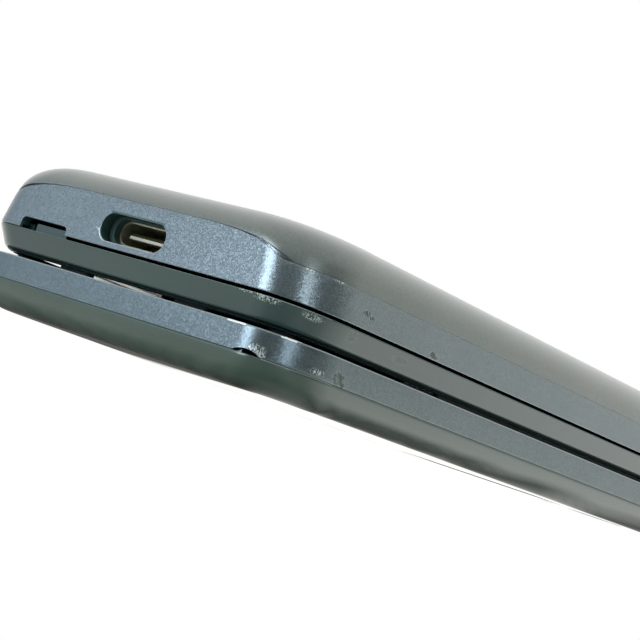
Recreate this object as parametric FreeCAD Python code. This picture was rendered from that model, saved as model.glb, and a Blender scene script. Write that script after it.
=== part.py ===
import FreeCAD, Part
import math
import os

# A clamshell phone, closed and lying on the flat of its lid. All lengths are in millimetres and all
# angles in degrees. X runs across the phone, Y from its free end (minus) to its hinge (plus), and Z up
# from the flat of the lid to the battery cover.

# Whole phone
phone_width = 51.0
phone_length = 113.0

# Plan of the free corners and of the small corners at the hinge
corner_across = 5.8
corner_along = 9.4
corner_fullness = 0.60
back_corner = 2.4
back_fullness = 0.55

# Layers, from the flat of the lid up
panel_depth = 3.36
frame_depth = 2.89
closed_gap = 0.72
front_depth = 2.53
belt_groove = 0.35
rear_depth = 8.75

# Slopes of the outer walls
panel_step = 0.17
panel_round = 3.0
panel_power = 0.9
frame_lean = 0.11
front_lean = 1.0
side_draft = 0.1655
end_draft = 0.052

# Rounding of the battery cover, the corners of its plan, and its parting line
cover_radius = 5.0
cover_draft = 14.0
cover_side_line = 5.76
cover_end_line = 4.82
cover_across = 7.5
cover_along = 10.0
cover_fullness = 0.65
cover_end_inset = 21.3
seam_rise = 2.01
seam_half_span = 21.9
seam_height = 3.97
seam_gap = 0.08

# Walls and fits
panel_wall = 1.0
frame_wall = 1.3
front_wall = 1.2
rear_wall = 1.2
cover_wall = 1.1
fit_gap = 0.10
running_gap = 0.05
glue_gap = 0.02

# Hinge
barrel_radius = 5.2
barrel_wall = 1.1
barrel_half = 15.2
knuckle_gap = 0.30
knuckle_inset = 0.2
cradle_gap = 0.35
rear_cradle_gap = 0.25
bearing_web = 1.6
shaft_radius = 1.5
cap_wall = 1.0
cap_depth = 1.0

# Slope of the keypad half down to the hinge
slope_run = 13.3
slope_mid_radius = 9.2
slope_mid_angle = 101.3
slope_end_angle = 50.0
slope_tail = 0.1

# Keys
plate_thick = 1.2
key_proud = 0.15
key_gap = 0.8
key_clearance = 0.15
key_edge = 0.3
key_corner = 1.6
flange_lip = 0.30
flange_thick = 0.50
flange_gap = 0.05
key_travel = 0.30
stem_radius = 1.4
stem_length = 0.35
key_margin = 2.65
chin_length = 15.3
call_row_length = 7.4
row_space = 1.0
nav_distance = 25.6
nav_size = 23.0
nav_corner = 7.0
select_size = 10.0
select_corner = 3.2
soft_length = 10.8
soft_corner = 2.2

# Side keys
side_key_length = 8.0
side_key_height = 1.5
side_key_proud = 0.30
side_key_space = 2.5
side_key_setback = 37.3
side_key_rise = 1.7
side_key_flange = 0.5
side_key_lip = 0.5
side_key_edge = 0.25
side_key_seat = 0.25

# Inner lip of the front case, which the rear case slips over
lip_inset = 0.3
lip_thick = 0.8
lip_rise = 0.45
lip_start = 0.9
lip_bridge = 0.5

# Electronics in the keypad half
dome_thick = 0.15
dome_margin = 0.5
dome_corner = 2.0
board_gap = 0.05
board_thick = 0.8
board_margin = 0.2
board_end_margin = 0.6
board_back_gap = 0.9
midplate_height = 2.6
midplate_thick = 0.6
battery_side_margin = 6.5
battery_front_gap = 0.5
battery_card_gap = 3.4
battery_thick = 4.1
battery_corner = 1.2
battery_edge = 0.6
contact_width = 1.8
contact_length = 3.0
contact_pitch = 3.0
contact_half_span = 12.0
card_width = 16.0
card_length = 12.0
card_setback = 1.4
card_thick = 1.4
card_wall = 0.35
can_wall = 0.2
can_corner = 0.8
can_apart = 3.0
can_width = 18.0
processor_can_length = 22.0
power_can_length = 16.0
radio_can_width = 26.0
radio_can_length = 14.0
processor_can_gap = 13.3
power_can_gap = 24.3
radio_can_lap = 2.4
motor_radius = 4.0
motor_height = 2.7
motor_side_gap = 9.0
motor_hinge_gap = 13.8
mic_x = 6.0
mic_setback = 5.0
mic_hole_radius = 0.6
mic_width = 2.6
mic_length = 2.2
mic_height = 0.9

# Bay of the battery, port shelf and bridge to the hinge
shelf_length = 12.2
shelf_thick = 0.7
shelf_gap = 0.3
step_thick = 0.8
bridge_wall = 1.5
rest_run = 2.0
rest_lap = 0.5
rest_thick = 0.8

# Loudspeaker and its slots
speaker_width = 14.0
speaker_length = 9.0
speaker_height = 3.0
speaker_corner = 1.5
speaker_gap = 0.35
speaker_setback = 5.6
slot_count = 6
slot_pitch = 1.8
slot_width = 0.7
slot_length = 4.8

# Antenna foil on the port shelf
antenna_margin = 6.5
antenna_setback = 2.6
antenna_width = 2.6
antenna_leg = 3.0
antenna_leg_x = -9.5
antenna_leg_length = 5.3
foil_thick = 0.2

# Fingernail groove at the hinge end of the battery cover
nail_width = 14.0
nail_radius = 6.0
nail_sink = 0.65
nail_setback = 1.1

# USB-C port
port_height = 2.64
port_half_width = 5.25
port_half_height = 1.71
shell_half_width = 4.47
shell_half_height = 1.58
shell_wall = 0.3
shell_length = 7.3
shell_depth = 2.6
shell_back_wall = 1.0
foot_x = 3.6
foot_width = 1.2
foot_length = 1.5
foot_setback = 3.5
seal_thick = 0.9
socket_wall = 0.9
socket_setback = 0.6
tongue_width = 6.7
tongue_thick = 0.7
tongue_setback = 0.6
tongue_base = 1.4

# Strap slot and finger notch
strap_centre = -13.6
strap_width = 7.0
strap_height = 1.3
strap_depth = 2.2
strap_mouth = 4.0
strap_open = 2.0
ledge_setback = 0.5
ledge_height = 0.65
ledge_foot = 0.4
notch_width = 5.0
notch_depth = 0.6
notch_centre = 21.6
notch_turn = 25.0
notch_start = 3.0
notch_reach = 4.2
notch_setback = 0.35

# Screws and their bosses
boss_radius = 1.5
boss_side_gap = 4.2
boss_over_board = 0.2
pad_gap = 0.3
chin_screw_side_gap = 7.0
chin_screw_setback = 8.0
case_screw_radius = 0.6
case_head_radius = 1.3
case_head_height = 0.8
recess_radius = 0.45
recess_depth = 0.42
screw_clearance = 0.15
screw_floor = 0.6
screw_start = 1.0
lid_screw_side_gap = 5.0
lid_screw_front_gap = 5.2
lid_screw_back_gap = 3.6
lid_screw_radius = 0.67
lid_head_radius = 1.35
lid_head_height = 0.4
lid_boss_radius = 1.9
lid_screw_start = 0.3

# Displays and windows
window_side_margin = 3.2
window_front_margin = 7.9
window_back_margin = 8.35
window_thick = 0.8
window_corner = 1.9
window_setback = 0.12
bezel_thick = 1.05
display_side_lap = 0.2
display_end_margin = 3.0
display_thick = 1.6
display_corner = 1.0
display_gap = 0.05
sub_window_width = 24.0
sub_window_length = 9.5
sub_window_setback = 21.75
sub_window_corner = 1.0
sub_window_thick = 0.7
sub_display_lap = 1.0
sub_display_thick = 1.1
sub_display_corner = 0.6
glass_sink = 0.12
glass_side_gap = 0.06
camera_glass = 0.6

# Camera, its light and the earpiece
camera_size = 8.0
camera_corner = 0.6
camera_x = 11.5
camera_setback = 7.0
camera_window_radius = 4.2
lens_radius = 3.0
lens_height = 1.4
aperture_radius = 1.3
aperture_depth = 0.6
flash_offset = 8.5
flash_radius = 1.3
earpiece_setback = 4.9
earpiece_slot_width = 10.0
earpiece_slot_length = 1.4
earpiece_slot_corner = 0.6
earpiece_width = 11.0
earpiece_length = 4.6
earpiece_height = 2.6
earpiece_corner = 0.8
earpiece_offset = 1.1
mesh_thick = 0.3
mesh_sink = 0.25

# Chassis plate, circuit board, magnet and bumpers of the lid
chassis_thick = 0.8
chassis_lip_gap = 0.35
chassis_lip_width = 1.0
chassis_web = 0.4
chassis_end_gap = 3.0
chassis_notch_width = 13.0
chassis_notch_length = 8.5
lid_board_thick = 0.6
lid_board_height = 1.6
lid_board_width = 38.0
lid_board_front_gap = 10.5
lid_board_back_gap = 10.0
lid_strip_side_gap = 4.0
lid_strip_width = 7.0
lid_strip_lap = 4.0
lid_landing_length = 5.5
chip_height = 0.5
chip_corner = 0.3
chip_large = 9.0
chip_medium = 7.0
chip_small_width = 5.0
chip_small_length = 8.0
magnet_x = 13.0
magnet_width = 6.0
magnet_length = 4.0
magnet_setback = 5.6
magnet_gap = 0.15
bumper_height = 0.60
bumper_x = 9.4
bumper_width = 5.1
bumper_length = 1.2
bumper_corner = 0.5
bumper_setback = 3.0
pad_radius = 1.4
pad_height = 0.45

# Spring unit in the barrel: housing, follower, spring and the shaft with its cam
housing_left = 1.5
housing_right_gap = 0.4
housing_wall = 0.5
head_gap = 0.4
head_end_gap = 1.6
head_size = 4.6
cam_gap = 0.6
cam_length = 2.8
follower_length = 2.9
lobe_height = 1.0
lobe_outer = 3.2
lobe_inner = 2.0
lobe_start = 70.0
lobe_sweep = 40.0
lobe_gap = 0.05
spring_wire = 0.55
spring_turns = 5
spring_gap = 0.15
pin_outer_gap = 1.2
pin_inner_gap = 0.2

# Flex cable: a turn of film in the barrel with a tail to the lid's board
flex_width = 8.0
flex_inset = 3.2
flex_radius = 2.2
flex_thick = 0.15
flex_opening = 0.8
flex_opening_rise = 0.8
flex_tail = 8.5
flex_side_gap = 0.3
flex_low_gap = 0.25
flex_high_gap = 0.4
flex_plug_length = 2.5
flex_plug_inset = 0.2

# Derived heights
frame_z = panel_depth
lid_top = frame_z + frame_depth
front_z = lid_top + closed_gap
belt_z = front_z + front_depth
case_z = belt_z + belt_groove
top_z = belt_z + rear_depth
plate_z = front_z + plate_thick
flange_z = plate_z + flange_gap
stem_z = flange_z + flange_thick
dome_z = stem_z + stem_length + key_travel + flange_gap
board_z = dome_z + dome_thick + board_gap
board_top = board_z + board_thick
midplate_z = belt_z + midplate_height
floor_z = midplate_z + midplate_thick
port_z = belt_z + port_height
shelf_z = port_z + shell_half_height + shelf_gap
shelf_top = shelf_z + shelf_thick
chassis_z = frame_z - chassis_thick
bezel_z = lid_top - bezel_thick

# Derived places
half_width = phone_width / 2
free_y = -phone_length / 2
hinge_y = phone_length / 2 - barrel_radius
hinge_z = lid_top + closed_gap / 2
lid_back = hinge_y - barrel_radius - cradle_gap
cover_end = hinge_y - cover_end_inset
shelf_back = free_y + shelf_length
mouth_y = free_y + shell_depth
knuckle_in = barrel_half + knuckle_gap
knuckle_out = half_width - knuckle_inset
nav_y = hinge_y - nav_distance
nav_low = nav_y - nav_size / 2
boss_row = 2 * (boss_radius + flange_lip + fit_gap)
boss_y = nav_low - boss_row / 2
band_inner = panel_step + frame_wall

# Derived key sizes
key_field = phone_width - 2 * key_margin
number_pitch = (key_field + key_gap) / 3
number_width = number_pitch - key_gap
call_y = nav_low - boss_row - call_row_length / 2
number_top = call_y - call_row_length / 2 - row_space
number_row_pitch = (number_top - free_y - chin_length + key_gap) / 4
number_length = number_row_pitch - key_gap
soft_width = (key_field - nav_size) / 2 - key_gap
soft_x = (key_field - soft_width) / 2
soft_y = (nav_size - soft_length) / 2

# Derived side key places
side_key_y = hinge_y - side_key_setback
side_key_pitch = side_key_length + side_key_space
side_key_z = belt_z + side_key_rise
side_outer = -half_width + side_draft * side_key_rise
side_inner = side_outer + rear_wall
side_flange = side_inner + side_key_seat

# Derived places in the lid
window_width = phone_width - 2 * window_side_margin
window_front = free_y + window_front_margin
window_back = lid_back - window_back_margin
window_length = window_back - window_front
window_y = (window_front + window_back) / 2
display_width = window_width + 2 * display_side_lap
display_length = window_length - 2 * display_end_margin
chassis_back = window_y + display_length / 2 - chassis_end_gap
sub_window_y = lid_back - sub_window_setback
camera_y = lid_back - camera_setback
earpiece_y = free_y + earpiece_setback

# Derived places in the bay
card_front = cover_end - card_setback - card_length
battery_front = shelf_back + battery_front_gap
battery_width = phone_width - 2 * battery_side_margin
battery_length = card_front - battery_card_gap - battery_front
battery_z = floor_z + fit_gap
speaker_y = cover_end + bridge_wall + speaker_setback

# Derived places in the hinge
housing_radius = barrel_radius - barrel_wall - running_gap
housing_right = barrel_half - housing_right_gap
housing_bore = housing_radius - housing_wall
head_left = knuckle_in + head_gap
head_right = knuckle_out - head_end_gap
cam_right = housing_right - cam_gap
cam_left = cam_right - cam_length
follower_left = cam_left - follower_length
flex_left = -barrel_half + flex_inset
flex_right = flex_left + flex_width
flex_z = hinge_z - flex_radius - flex_thick
flex_end = lid_back - flex_tail

# How far a cutting body reaches past the body that it cuts
over = 1.0


def point(x, y, z):
    return FreeCAD.Vector(x, y, z)


def block(x0, x1, y0, y1, z0, z1):
    return Part.makeBox(x1 - x0, y1 - y0, z1 - z0, point(x0, y0, z0))


def disc(x, y, z0, z1, radius):
    return Part.makeCylinder(radius, z1 - z0, point(x, y, z0))


def hinge_rod(x0, x1, radius):
    # A round bar on the hinge axis.
    return Part.makeCylinder(radius, x1 - x0, point(x0, hinge_y, hinge_z), point(1, 0, 0))


def joined(shapes):
    whole = shapes[0]
    for shape in shapes[1:]:
        whole = whole.fuse(shape)
    return whole.removeSplitter()


def bent(p0, corner, p1, fullness):
    # A corner that leaves p0 and meets p1 along the two straight sides.
    curve = Part.BezierCurve()
    curve.setPoles([p0, p0 + (corner - p0) * fullness, p1 + (corner - p1) * fullness, p1])
    return curve.toShape()


def plan(z, side, end, back, across=corner_across, along=corner_along, fullness=corner_fullness):
    # The outline of a half of the phone at height z, drawn in by side and end from the full width and length.
    right = half_width - side
    front = free_y + end
    inner = right - across
    start = front + along
    late = back - back_corner
    small = right - back_corner
    edges = [
        Part.makeLine(point(-inner, front, z), point(inner, front, z)),
        bent(point(inner, front, z), point(right, front, z), point(right, start, z), fullness),
        Part.makeLine(point(right, start, z), point(right, late, z)),
        bent(point(right, late, z), point(right, back, z), point(small, back, z), back_fullness),
        Part.makeLine(point(small, back, z), point(-small, back, z)),
        bent(point(-small, back, z), point(-right, back, z), point(-right, late, z), back_fullness),
        Part.makeLine(point(-right, late, z), point(-right, start, z)),
        bent(point(-right, start, z), point(-right, front, z), point(-inner, front, z), fullness),
    ]
    return Part.Wire(edges)


def slab(z0, z1, inset, back):
    # A flat plate with the plan of the phone, drawn in by inset.
    return Part.Face(plan(z0, inset, inset, back)).extrude(point(0, 0, z1 - z0))


def tapered(z0, inset0, z1, inset1, back0, back1):
    return Part.makeLoft([plan(z0, inset0, inset0, back0), plan(z1, inset1, inset1, back1)], True, True)


def rounded_plate(x, y, width, length, radius, z0, z1):
    # A plate with round corners, centred on x and y.
    a = width / 2
    b = length / 2
    r = min(radius, a - 0.01, b - 0.01)
    c = r * (1 - math.sqrt(0.5))
    arcs = []
    for sx, sy in ((1, 1), (-1, 1), (-1, -1), (1, -1)):
        side = point(x + sx * a, y + sy * (b - r), z0)
        end = point(x + sx * (a - r), y + sy * b, z0)
        middle = point(x + sx * (a - c), y + sy * (b - c), z0)
        if sx == sy:
            arcs.append((side, middle, end))
        else:
            arcs.append((end, middle, side))
    outline = []
    for i, (first, middle, last) in enumerate(arcs):
        outline.append(Part.Arc(first, middle, last).toShape())
        outline.append(Part.makeLine(last, arcs[(i + 1) % 4][0]))
    return Part.Face(Part.Wire(outline)).extrude(point(0, 0, z1 - z0))


def stadium(half_w, half_h, y0, y1):
    # A bar along Y with a stadium section, centred on the port.
    straight = half_w - half_h
    low = port_z - half_h
    high = port_z + half_h
    edges = [
        Part.makeLine(point(-straight, y0, low), point(straight, y0, low)),
        Part.Arc(point(straight, y0, low), point(half_w, y0, port_z), point(straight, y0, high)).toShape(),
        Part.makeLine(point(straight, y0, high), point(-straight, y0, high)),
        Part.Arc(point(-straight, y0, high), point(-half_w, y0, port_z), point(-straight, y0, low)).toShape(),
    ]
    return Part.Face(Part.Wire(edges)).extrude(point(0, y1 - y0, 0))


# Blanks of the keypad half

def draft_blank(wall):
    # The outer walls of the rear case, carried on past the cover.
    rise = rear_depth + 2 * over
    back = phone_length / 2 - wall
    low = plan(belt_z, wall, wall, back)
    high = plan(belt_z + rise, side_draft * rise + wall, end_draft * rise + wall, back)
    return Part.makeLoft([low, high], True, True)


def cover_plan(z, inset):
    end = inset - (cover_side_line - cover_end_line)
    back = phone_length / 2 + 2 * over
    return plan(z, inset, end, back, cover_across, cover_along, cover_fullness)


def cover_blank(wall):
    # The rounded top: a drafted wall that turns over into the flat of the cover.
    radius = cover_radius - wall
    centre_z = top_z - cover_radius
    tangent_z = centre_z + radius * math.sin(math.radians(cover_draft))
    tangent_inset = cover_side_line - radius * math.cos(math.radians(cover_draft))
    foot_z = belt_z - over
    foot_inset = tangent_inset - (tangent_z - foot_z) * math.tan(math.radians(cover_draft))
    foot = cover_plan(foot_z, foot_inset)
    wall_part = Part.makeLoft([foot, cover_plan(tangent_z, tangent_inset)], True, True)
    sections = []
    steps = 7
    for i in range(steps + 1):
        angle = math.radians(cover_draft + (90.0 - cover_draft) * i / steps)
        inset = cover_side_line - radius * math.cos(angle)
        sections.append(cover_plan(centre_z + radius * math.sin(angle), inset))
    crown = Part.makeLoft(sections, True, False)
    return wall_part.fuse(crown)


def slope_blank(wall):
    # The side view of the keypad half: flat cover, then one arc down to the hinge barrel.
    def around(radius, angle):
        turn = math.radians(angle)
        return hinge_y + radius * math.cos(turn), hinge_z + radius * math.sin(turn)
    x = -half_width - over
    front = free_y - over
    roof = top_z + over - wall
    start = point(x, hinge_y - slope_run, top_z - wall)
    mid_y, mid_z = around(slope_mid_radius - wall, slope_mid_angle)
    end_y, end_z = around(barrel_radius + cradle_gap + slope_tail, slope_end_angle + wall * 6.0)
    edges = [
        Part.Arc(start, point(x, mid_y, mid_z), point(x, end_y, end_z)).toShape(),
        Part.makeLine(point(x, end_y, end_z), point(x, hinge_y, hinge_z)),
        Part.makeLine(point(x, hinge_y, hinge_z), point(x, front, hinge_z)),
        Part.makeLine(point(x, front, hinge_z), point(x, front, roof)),
        Part.makeLine(point(x, front, roof), point(x, start.y, roof)),
        Part.makeLine(point(x, start.y, roof), start),
    ]
    return Part.Face(Part.Wire(edges)).extrude(point(phone_width + 2 * over, 0, 0))


def rear_blank(wall, radius_round_barrel):
    # The outside of the rear case and battery cover together, or with a wall its inside.
    blank = draft_blank(wall).common(cover_blank(wall)).common(slope_blank(wall))
    below = block(-half_width, half_width, free_y - over, hinge_y + slope_run, hinge_z - over, case_z)
    return blank.cut(below).cut(hinge_rod(-half_width, half_width, radius_round_barrel))


def above_seam(gap):
    # All that lies over the cover's parting line, which arches over the port.
    span = seam_half_span
    front = free_y - over
    low = belt_z + seam_height + gap
    arch = []
    for i in range(-8, 9):
        share = i / 8.0
        arch.append(point(span * share, front, low + seam_rise * (1 - abs(share) ** 6)))
    curve = Part.BSplineCurve()
    curve.interpolate(arch)
    left = point(-half_width - over, front, low)
    right = point(half_width + over, front, low)
    roof = point(0, 0, rear_depth)
    edges = [
        Part.makeLine(left, arch[0]),
        curve.toShape(),
        Part.makeLine(arch[-1], right),
        Part.makeLine(right, right + roof),
        Part.makeLine(right + roof, left + roof),
        Part.makeLine(left + roof, left),
    ]
    return Part.Face(Part.Wire(edges)).extrude(point(0, cover_end - gap - front, 0))


# Keys on the front

def number_places():
    # Seen with the phone open and the hinge at the top, column 0 is on the left, which is plus X here.
    places = {}
    names = ["1", "2", "3", "4", "5", "6", "7", "8", "9", "star", "0", "hash"]
    for i, name in enumerate(names):
        column = i % 3
        row = i // 3
        y = number_top - number_length / 2 - row * number_row_pitch
        places["key_" + name] = ((1 - column) * number_pitch, y)
    return places


def key_shapes():
    # Name, then centre, width, length and corner radius of each key on the front.
    keys = {}
    for name, (x, y) in number_places().items():
        keys[name] = (x, y, number_width, number_length, key_corner)
    for name, column in (("key_call", 1), ("key_clear", 0), ("key_end", -1)):
        keys[name] = (column * number_pitch, call_y, number_width, call_row_length, key_corner)
    corners = (("key_soft_1", 1, 1), ("key_soft_2", -1, 1), ("key_soft_3", 1, -1), ("key_soft_4", -1, -1))
    for name, sx, sy in corners:
        keys[name] = (sx * soft_x, nav_y + sy * soft_y, soft_width, soft_length, soft_corner)
    keys["key_select"] = (0.0, nav_y, select_size, select_size, select_corner)
    keys["key_nav"] = (0.0, nav_y, nav_size, nav_size, nav_corner)
    return keys


def key_solid(name, spec):
    x, y, width, length, radius = spec
    face = front_z - key_proud
    cap = rounded_plate(x, y, width, length, radius, face, flange_z)
    edge = [e for e in cap.Edges if abs(e.CenterOfMass.z - face) < 1e-6]
    cap = cap.makeFillet(min(key_edge, plate_thick / 3), edge)
    lip = 0.0 if name == "key_select" else flange_lip
    flange = rounded_plate(x, y, width + 2 * lip, length + 2 * lip, radius + lip, flange_z, stem_z)
    stem_top = stem_z + stem_length
    if name == "key_nav":
        hole = select_size + 2 * key_clearance
        corner = select_corner + key_clearance
        opening = rounded_plate(x, y, hole, hole, corner, front_z - over, stem_z + over)
        ring = (nav_size + hole) / 4
        stems = [disc(x + ring * dx, y + ring * dy, stem_z, stem_top, stem_radius)
                 for dx, dy in ((1, 0), (0, 1), (-1, 0), (0, -1))]
        return joined([joined([cap, flange]).cut(opening)] + stems)
    return joined([cap, flange, disc(x, y, stem_z, stem_top, stem_radius)])


# Side keys, in the side wall of the rear case

def side_key(index):
    y = side_key_y + index * side_key_pitch
    a = side_key_length / 2
    b = side_key_height / 2
    proud = side_outer - side_key_proud
    grip = block(proud, side_flange, y - a, y + a, side_key_z - b, side_key_z + b)
    grip = grip.makeFillet(side_key_edge, [e for e in grip.Edges if e.CenterOfMass.x < proud + 0.01])
    a = a + side_key_lip
    flange = block(side_flange, side_flange + side_key_flange, y - a, y + a, side_key_z - b, side_key_z + b)
    return joined([grip, flange])


def side_key_openings():
    cuts = []
    for index in (0, 1):
        y = side_key_y + index * side_key_pitch
        a = side_key_length / 2 + key_clearance
        b = side_key_height / 2 + key_clearance
        cuts.append(block(side_outer - 2 * over, side_flange - running_gap, y - a, y + a,
                          side_key_z - b, side_key_z + b))
    return cuts


# Screw places

def case_screw_places():
    boss_x = half_width - boss_side_gap
    chin_x = half_width - chin_screw_side_gap
    chin_y = free_y + chin_screw_setback
    return [(boss_x, boss_y), (-boss_x, boss_y), (chin_x, chin_y), (-chin_x, chin_y)]


def lid_screw_places():
    x = half_width - lid_screw_side_gap
    rows = (free_y + lid_screw_front_gap, lid_back - lid_screw_back_gap)
    return [(sx * x, y) for sx in (1, -1) for y in rows]


# Front case: keypad face, side walls, inner lip and the two hinge knuckles

def front_case():
    inner_back = lid_back - front_wall
    outer = tapered(front_z, front_lean, belt_z, 0.0, hinge_y - front_lean, hinge_y)
    inner = tapered(plate_z, front_lean + front_wall, belt_z + over, front_wall, inner_back, inner_back)
    ring_out = front_wall + lip_inset
    ring_in = ring_out + lip_thick
    lip_z = plate_z + lip_start
    hollow = slab(lip_z - over, top_z, ring_in, inner_back - lip_thick)
    lip = slab(lip_z, case_z + lip_rise, ring_out, inner_back).cut(hollow)
    bridge = slab(lip_z, lip_z + lip_bridge, front_lean, inner_back).cut(hollow)
    shell = joined([outer.cut(inner), bridge.common(outer), lip])
    shell = shell.cut(hinge_rod(-knuckle_in, knuckle_in, barrel_radius + cradle_gap))
    shell = shell.cut(block(-half_width, half_width, inner_back - 0.01, hinge_y + barrel_radius, belt_z, top_z))
    knuckles = []
    for side in (1, -1):
        a, b = sorted((side * knuckle_in, side * knuckle_out))
        knuckles.append(hinge_rod(a, b, barrel_radius))
    shell = joined([shell] + knuckles)
    for side in (1, -1):
        a, b = sorted((side * (knuckle_out - cap_depth), side * (knuckle_out + over)))
        shell = shell.cut(hinge_rod(a, b, barrel_radius - cap_wall))
    shell = shell.cut(drive_head(running_gap))
    shell = shell.cut(hinge_rod(-knuckle_out, -knuckle_in + over, shaft_radius))
    grow = 2 * key_clearance
    for name, (x, y, width, length, radius) in key_shapes().items():
        if name == "key_select":
            continue
        corner = radius + key_clearance
        shell = shell.cut(rounded_plate(x, y, width + grow, length + grow, corner, front_z - over, plate_z))
    for x, y in case_screw_places():
        shell = shell.fuse(disc(x, y, plate_z, board_top + boss_over_board, boss_radius))
    for x, y in case_screw_places():
        shell = shell.cut(disc(x, y, plate_z + screw_floor, board_top + over, case_screw_radius))
    strap_left = strap_centre - strap_width / 2
    strap_right = strap_centre + strap_width / 2
    slot = block(strap_left, strap_left + strap_open, free_y - over, free_y + strap_mouth,
                 belt_z, belt_z + strap_height)
    shell = shell.cut(slot)
    ledge = block(strap_left + strap_open, strap_right - fit_gap, free_y + ledge_setback,
                  free_y + strap_depth - fit_gap, belt_z - ledge_foot, belt_z + ledge_height)
    shell = shell.fuse(ledge)
    room = socket_wall + fit_gap
    shell = shell.cut(stadium(port_half_width + room, port_half_height + room,
                              free_y - over, mouth_y + shell_depth))
    mic_hole = disc(mic_x, free_y + mic_setback, front_z - over, plate_z + over, mic_hole_radius)
    return shell.cut(mic_hole).removeSplitter()


# Rear case: outer walls up to the cover's parting line, battery floor, port shelf and the bridge at the hinge

def speaker_slots():
    return [(i - (slot_count - 1) / 2) * slot_pitch for i in range(slot_count)]


def rear_case():
    outer = rear_blank(0.0, barrel_radius + rear_cradle_gap)
    hollow = rear_blank(rear_wall, barrel_radius + cradle_gap + rear_wall)
    case = outer.cut(above_seam(0.0)).cut(hollow)
    wide = rear_blank(rear_wall - 0.05, barrel_radius + cradle_gap)
    roof = top_z - cover_wall - fit_gap
    bridge_back = cover_end + bridge_wall
    floor = block(-half_width, half_width, shelf_back, bridge_back, midplate_z, floor_z)
    shelf = block(-half_width, half_width, free_y, shelf_back, shelf_z, shelf_top)
    step = block(-half_width, half_width, shelf_back - step_thick, shelf_back, midplate_z, shelf_top)
    partition = block(-half_width, half_width, cover_end, bridge_back, midplate_z, top_z)
    case = joined([case, joined([floor, shelf, step, partition]).common(wide)])
    rest = block(-half_width, half_width, cover_end - rest_run, cover_end + rest_lap, roof - rest_thick, roof)
    case = joined([case, rest.common(wide)])
    socket = stadium(port_half_width + socket_wall, port_half_height + socket_wall,
                     free_y + socket_setback, mouth_y - seal_thick)
    case = case.fuse(socket.common(wide))
    case = case.cut(stadium(port_half_width, port_half_height, free_y - over, mouth_y + fit_gap))
    case = case.cut(stadium(shell_half_width + fit_gap, shell_half_height + fit_gap,
                            mouth_y, mouth_y + shell_length + fit_gap))
    case = case.cut(block(strap_centre - strap_width / 2, strap_centre + strap_width / 2,
                          free_y - over, free_y + strap_depth, case_z - over, belt_z + strap_height))
    for cut in side_key_openings():
        case = case.cut(cut)
    bore = case_screw_radius + screw_clearance
    pad_z = board_top + pad_gap
    for x, y in case_screw_places():
        low = midplate_z if y > shelf_back else shelf_z
        case = case.cut(disc(x, y, low - over, top_z, bore))
        pad = disc(x, y, pad_z, low + fit_gap, boss_radius).cut(disc(x, y, pad_z - over, low + over, bore))
        case = case.fuse(pad)
    a = slot_width / 2
    b = slot_length / 2
    slot_foot = top_z - speaker_height - over
    for x in speaker_slots():
        case = case.cut(block(x - a, x + a, speaker_y - b, speaker_y + b, slot_foot, top_z + over))
    return case.removeSplitter()


def battery_cover():
    outer = rear_blank(0.0, barrel_radius + cradle_gap)
    hollow = rear_blank(cover_wall, barrel_radius + cradle_gap)
    cover = outer.common(above_seam(seam_gap)).cut(hollow)
    start = point(-nail_width / 2, cover_end - nail_setback, top_z - nail_sink + nail_radius)
    return cover.cut(Part.makeCylinder(nail_radius, nail_width, start, point(1, 0, 0))).removeSplitter()


def loudspeaker():
    top = top_z - rear_wall - speaker_gap
    return rounded_plate(0, speaker_y, speaker_width, speaker_length, speaker_corner, top - speaker_height, top)


def card_holder():
    y = card_front + card_length / 2
    z = floor_z + glue_gap
    tray = rounded_plate(0, y, card_width, card_length, can_corner, z, z + card_thick)
    a = card_width / 2 - over
    low = card_front - over
    high = card_front + card_length - over
    return tray.cut(block(-a, a, low, high, z + card_wall, z + card_thick - 0.3))


def battery():
    y = battery_front + battery_length / 2
    top = battery_z + battery_thick
    cell = rounded_plate(0, y, battery_width, battery_length, battery_corner, battery_z, top)
    return cell.makeFillet(battery_edge, [e for e in cell.Edges if abs(e.CenterOfMass.z - top) < 1e-6])


def main_board():
    # The board under the keys, with the battery's contacts and the microphone on it.
    side = front_wall + lip_inset + lip_thick + board_margin
    end = front_wall + lip_inset + lip_thick + board_end_margin
    back = lid_back - rear_wall - board_back_gap
    board = Part.Face(plan(board_z, side, end, back)).extrude(point(0, 0, board_thick))
    for x, y in case_screw_places():
        board = board.cut(disc(x, y, board_z - over, board_top + over, boss_radius + screw_clearance))
    low = board_top - 0.01
    pieces = [board]
    for x in (-contact_half_span, contact_pitch - contact_half_span,
              contact_half_span - contact_pitch, contact_half_span):
        a = contact_width / 2
        y = shelf_back + over
        pieces.append(block(x - a, x + a, y, y + contact_length, low, midplate_z - fit_gap))
    mic_y = free_y + mic_setback
    pieces.append(rounded_plate(mic_x, mic_y, mic_width, mic_length, foil_thick, low, board_top + mic_height))
    return joined(pieces)


def dome_sheet():
    low = free_y + chin_length
    high = nav_y + nav_size / 2
    width = key_field - 2 * dome_margin
    sheet = rounded_plate(0, (low + high) / 2, width, high - low, dome_corner, dome_z, dome_z + dome_thick)
    for x, y in case_screw_places():
        sheet = sheet.cut(disc(x, y, dome_z - over, dome_z + over, boss_radius + screw_clearance + running_gap))
    return sheet


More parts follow.
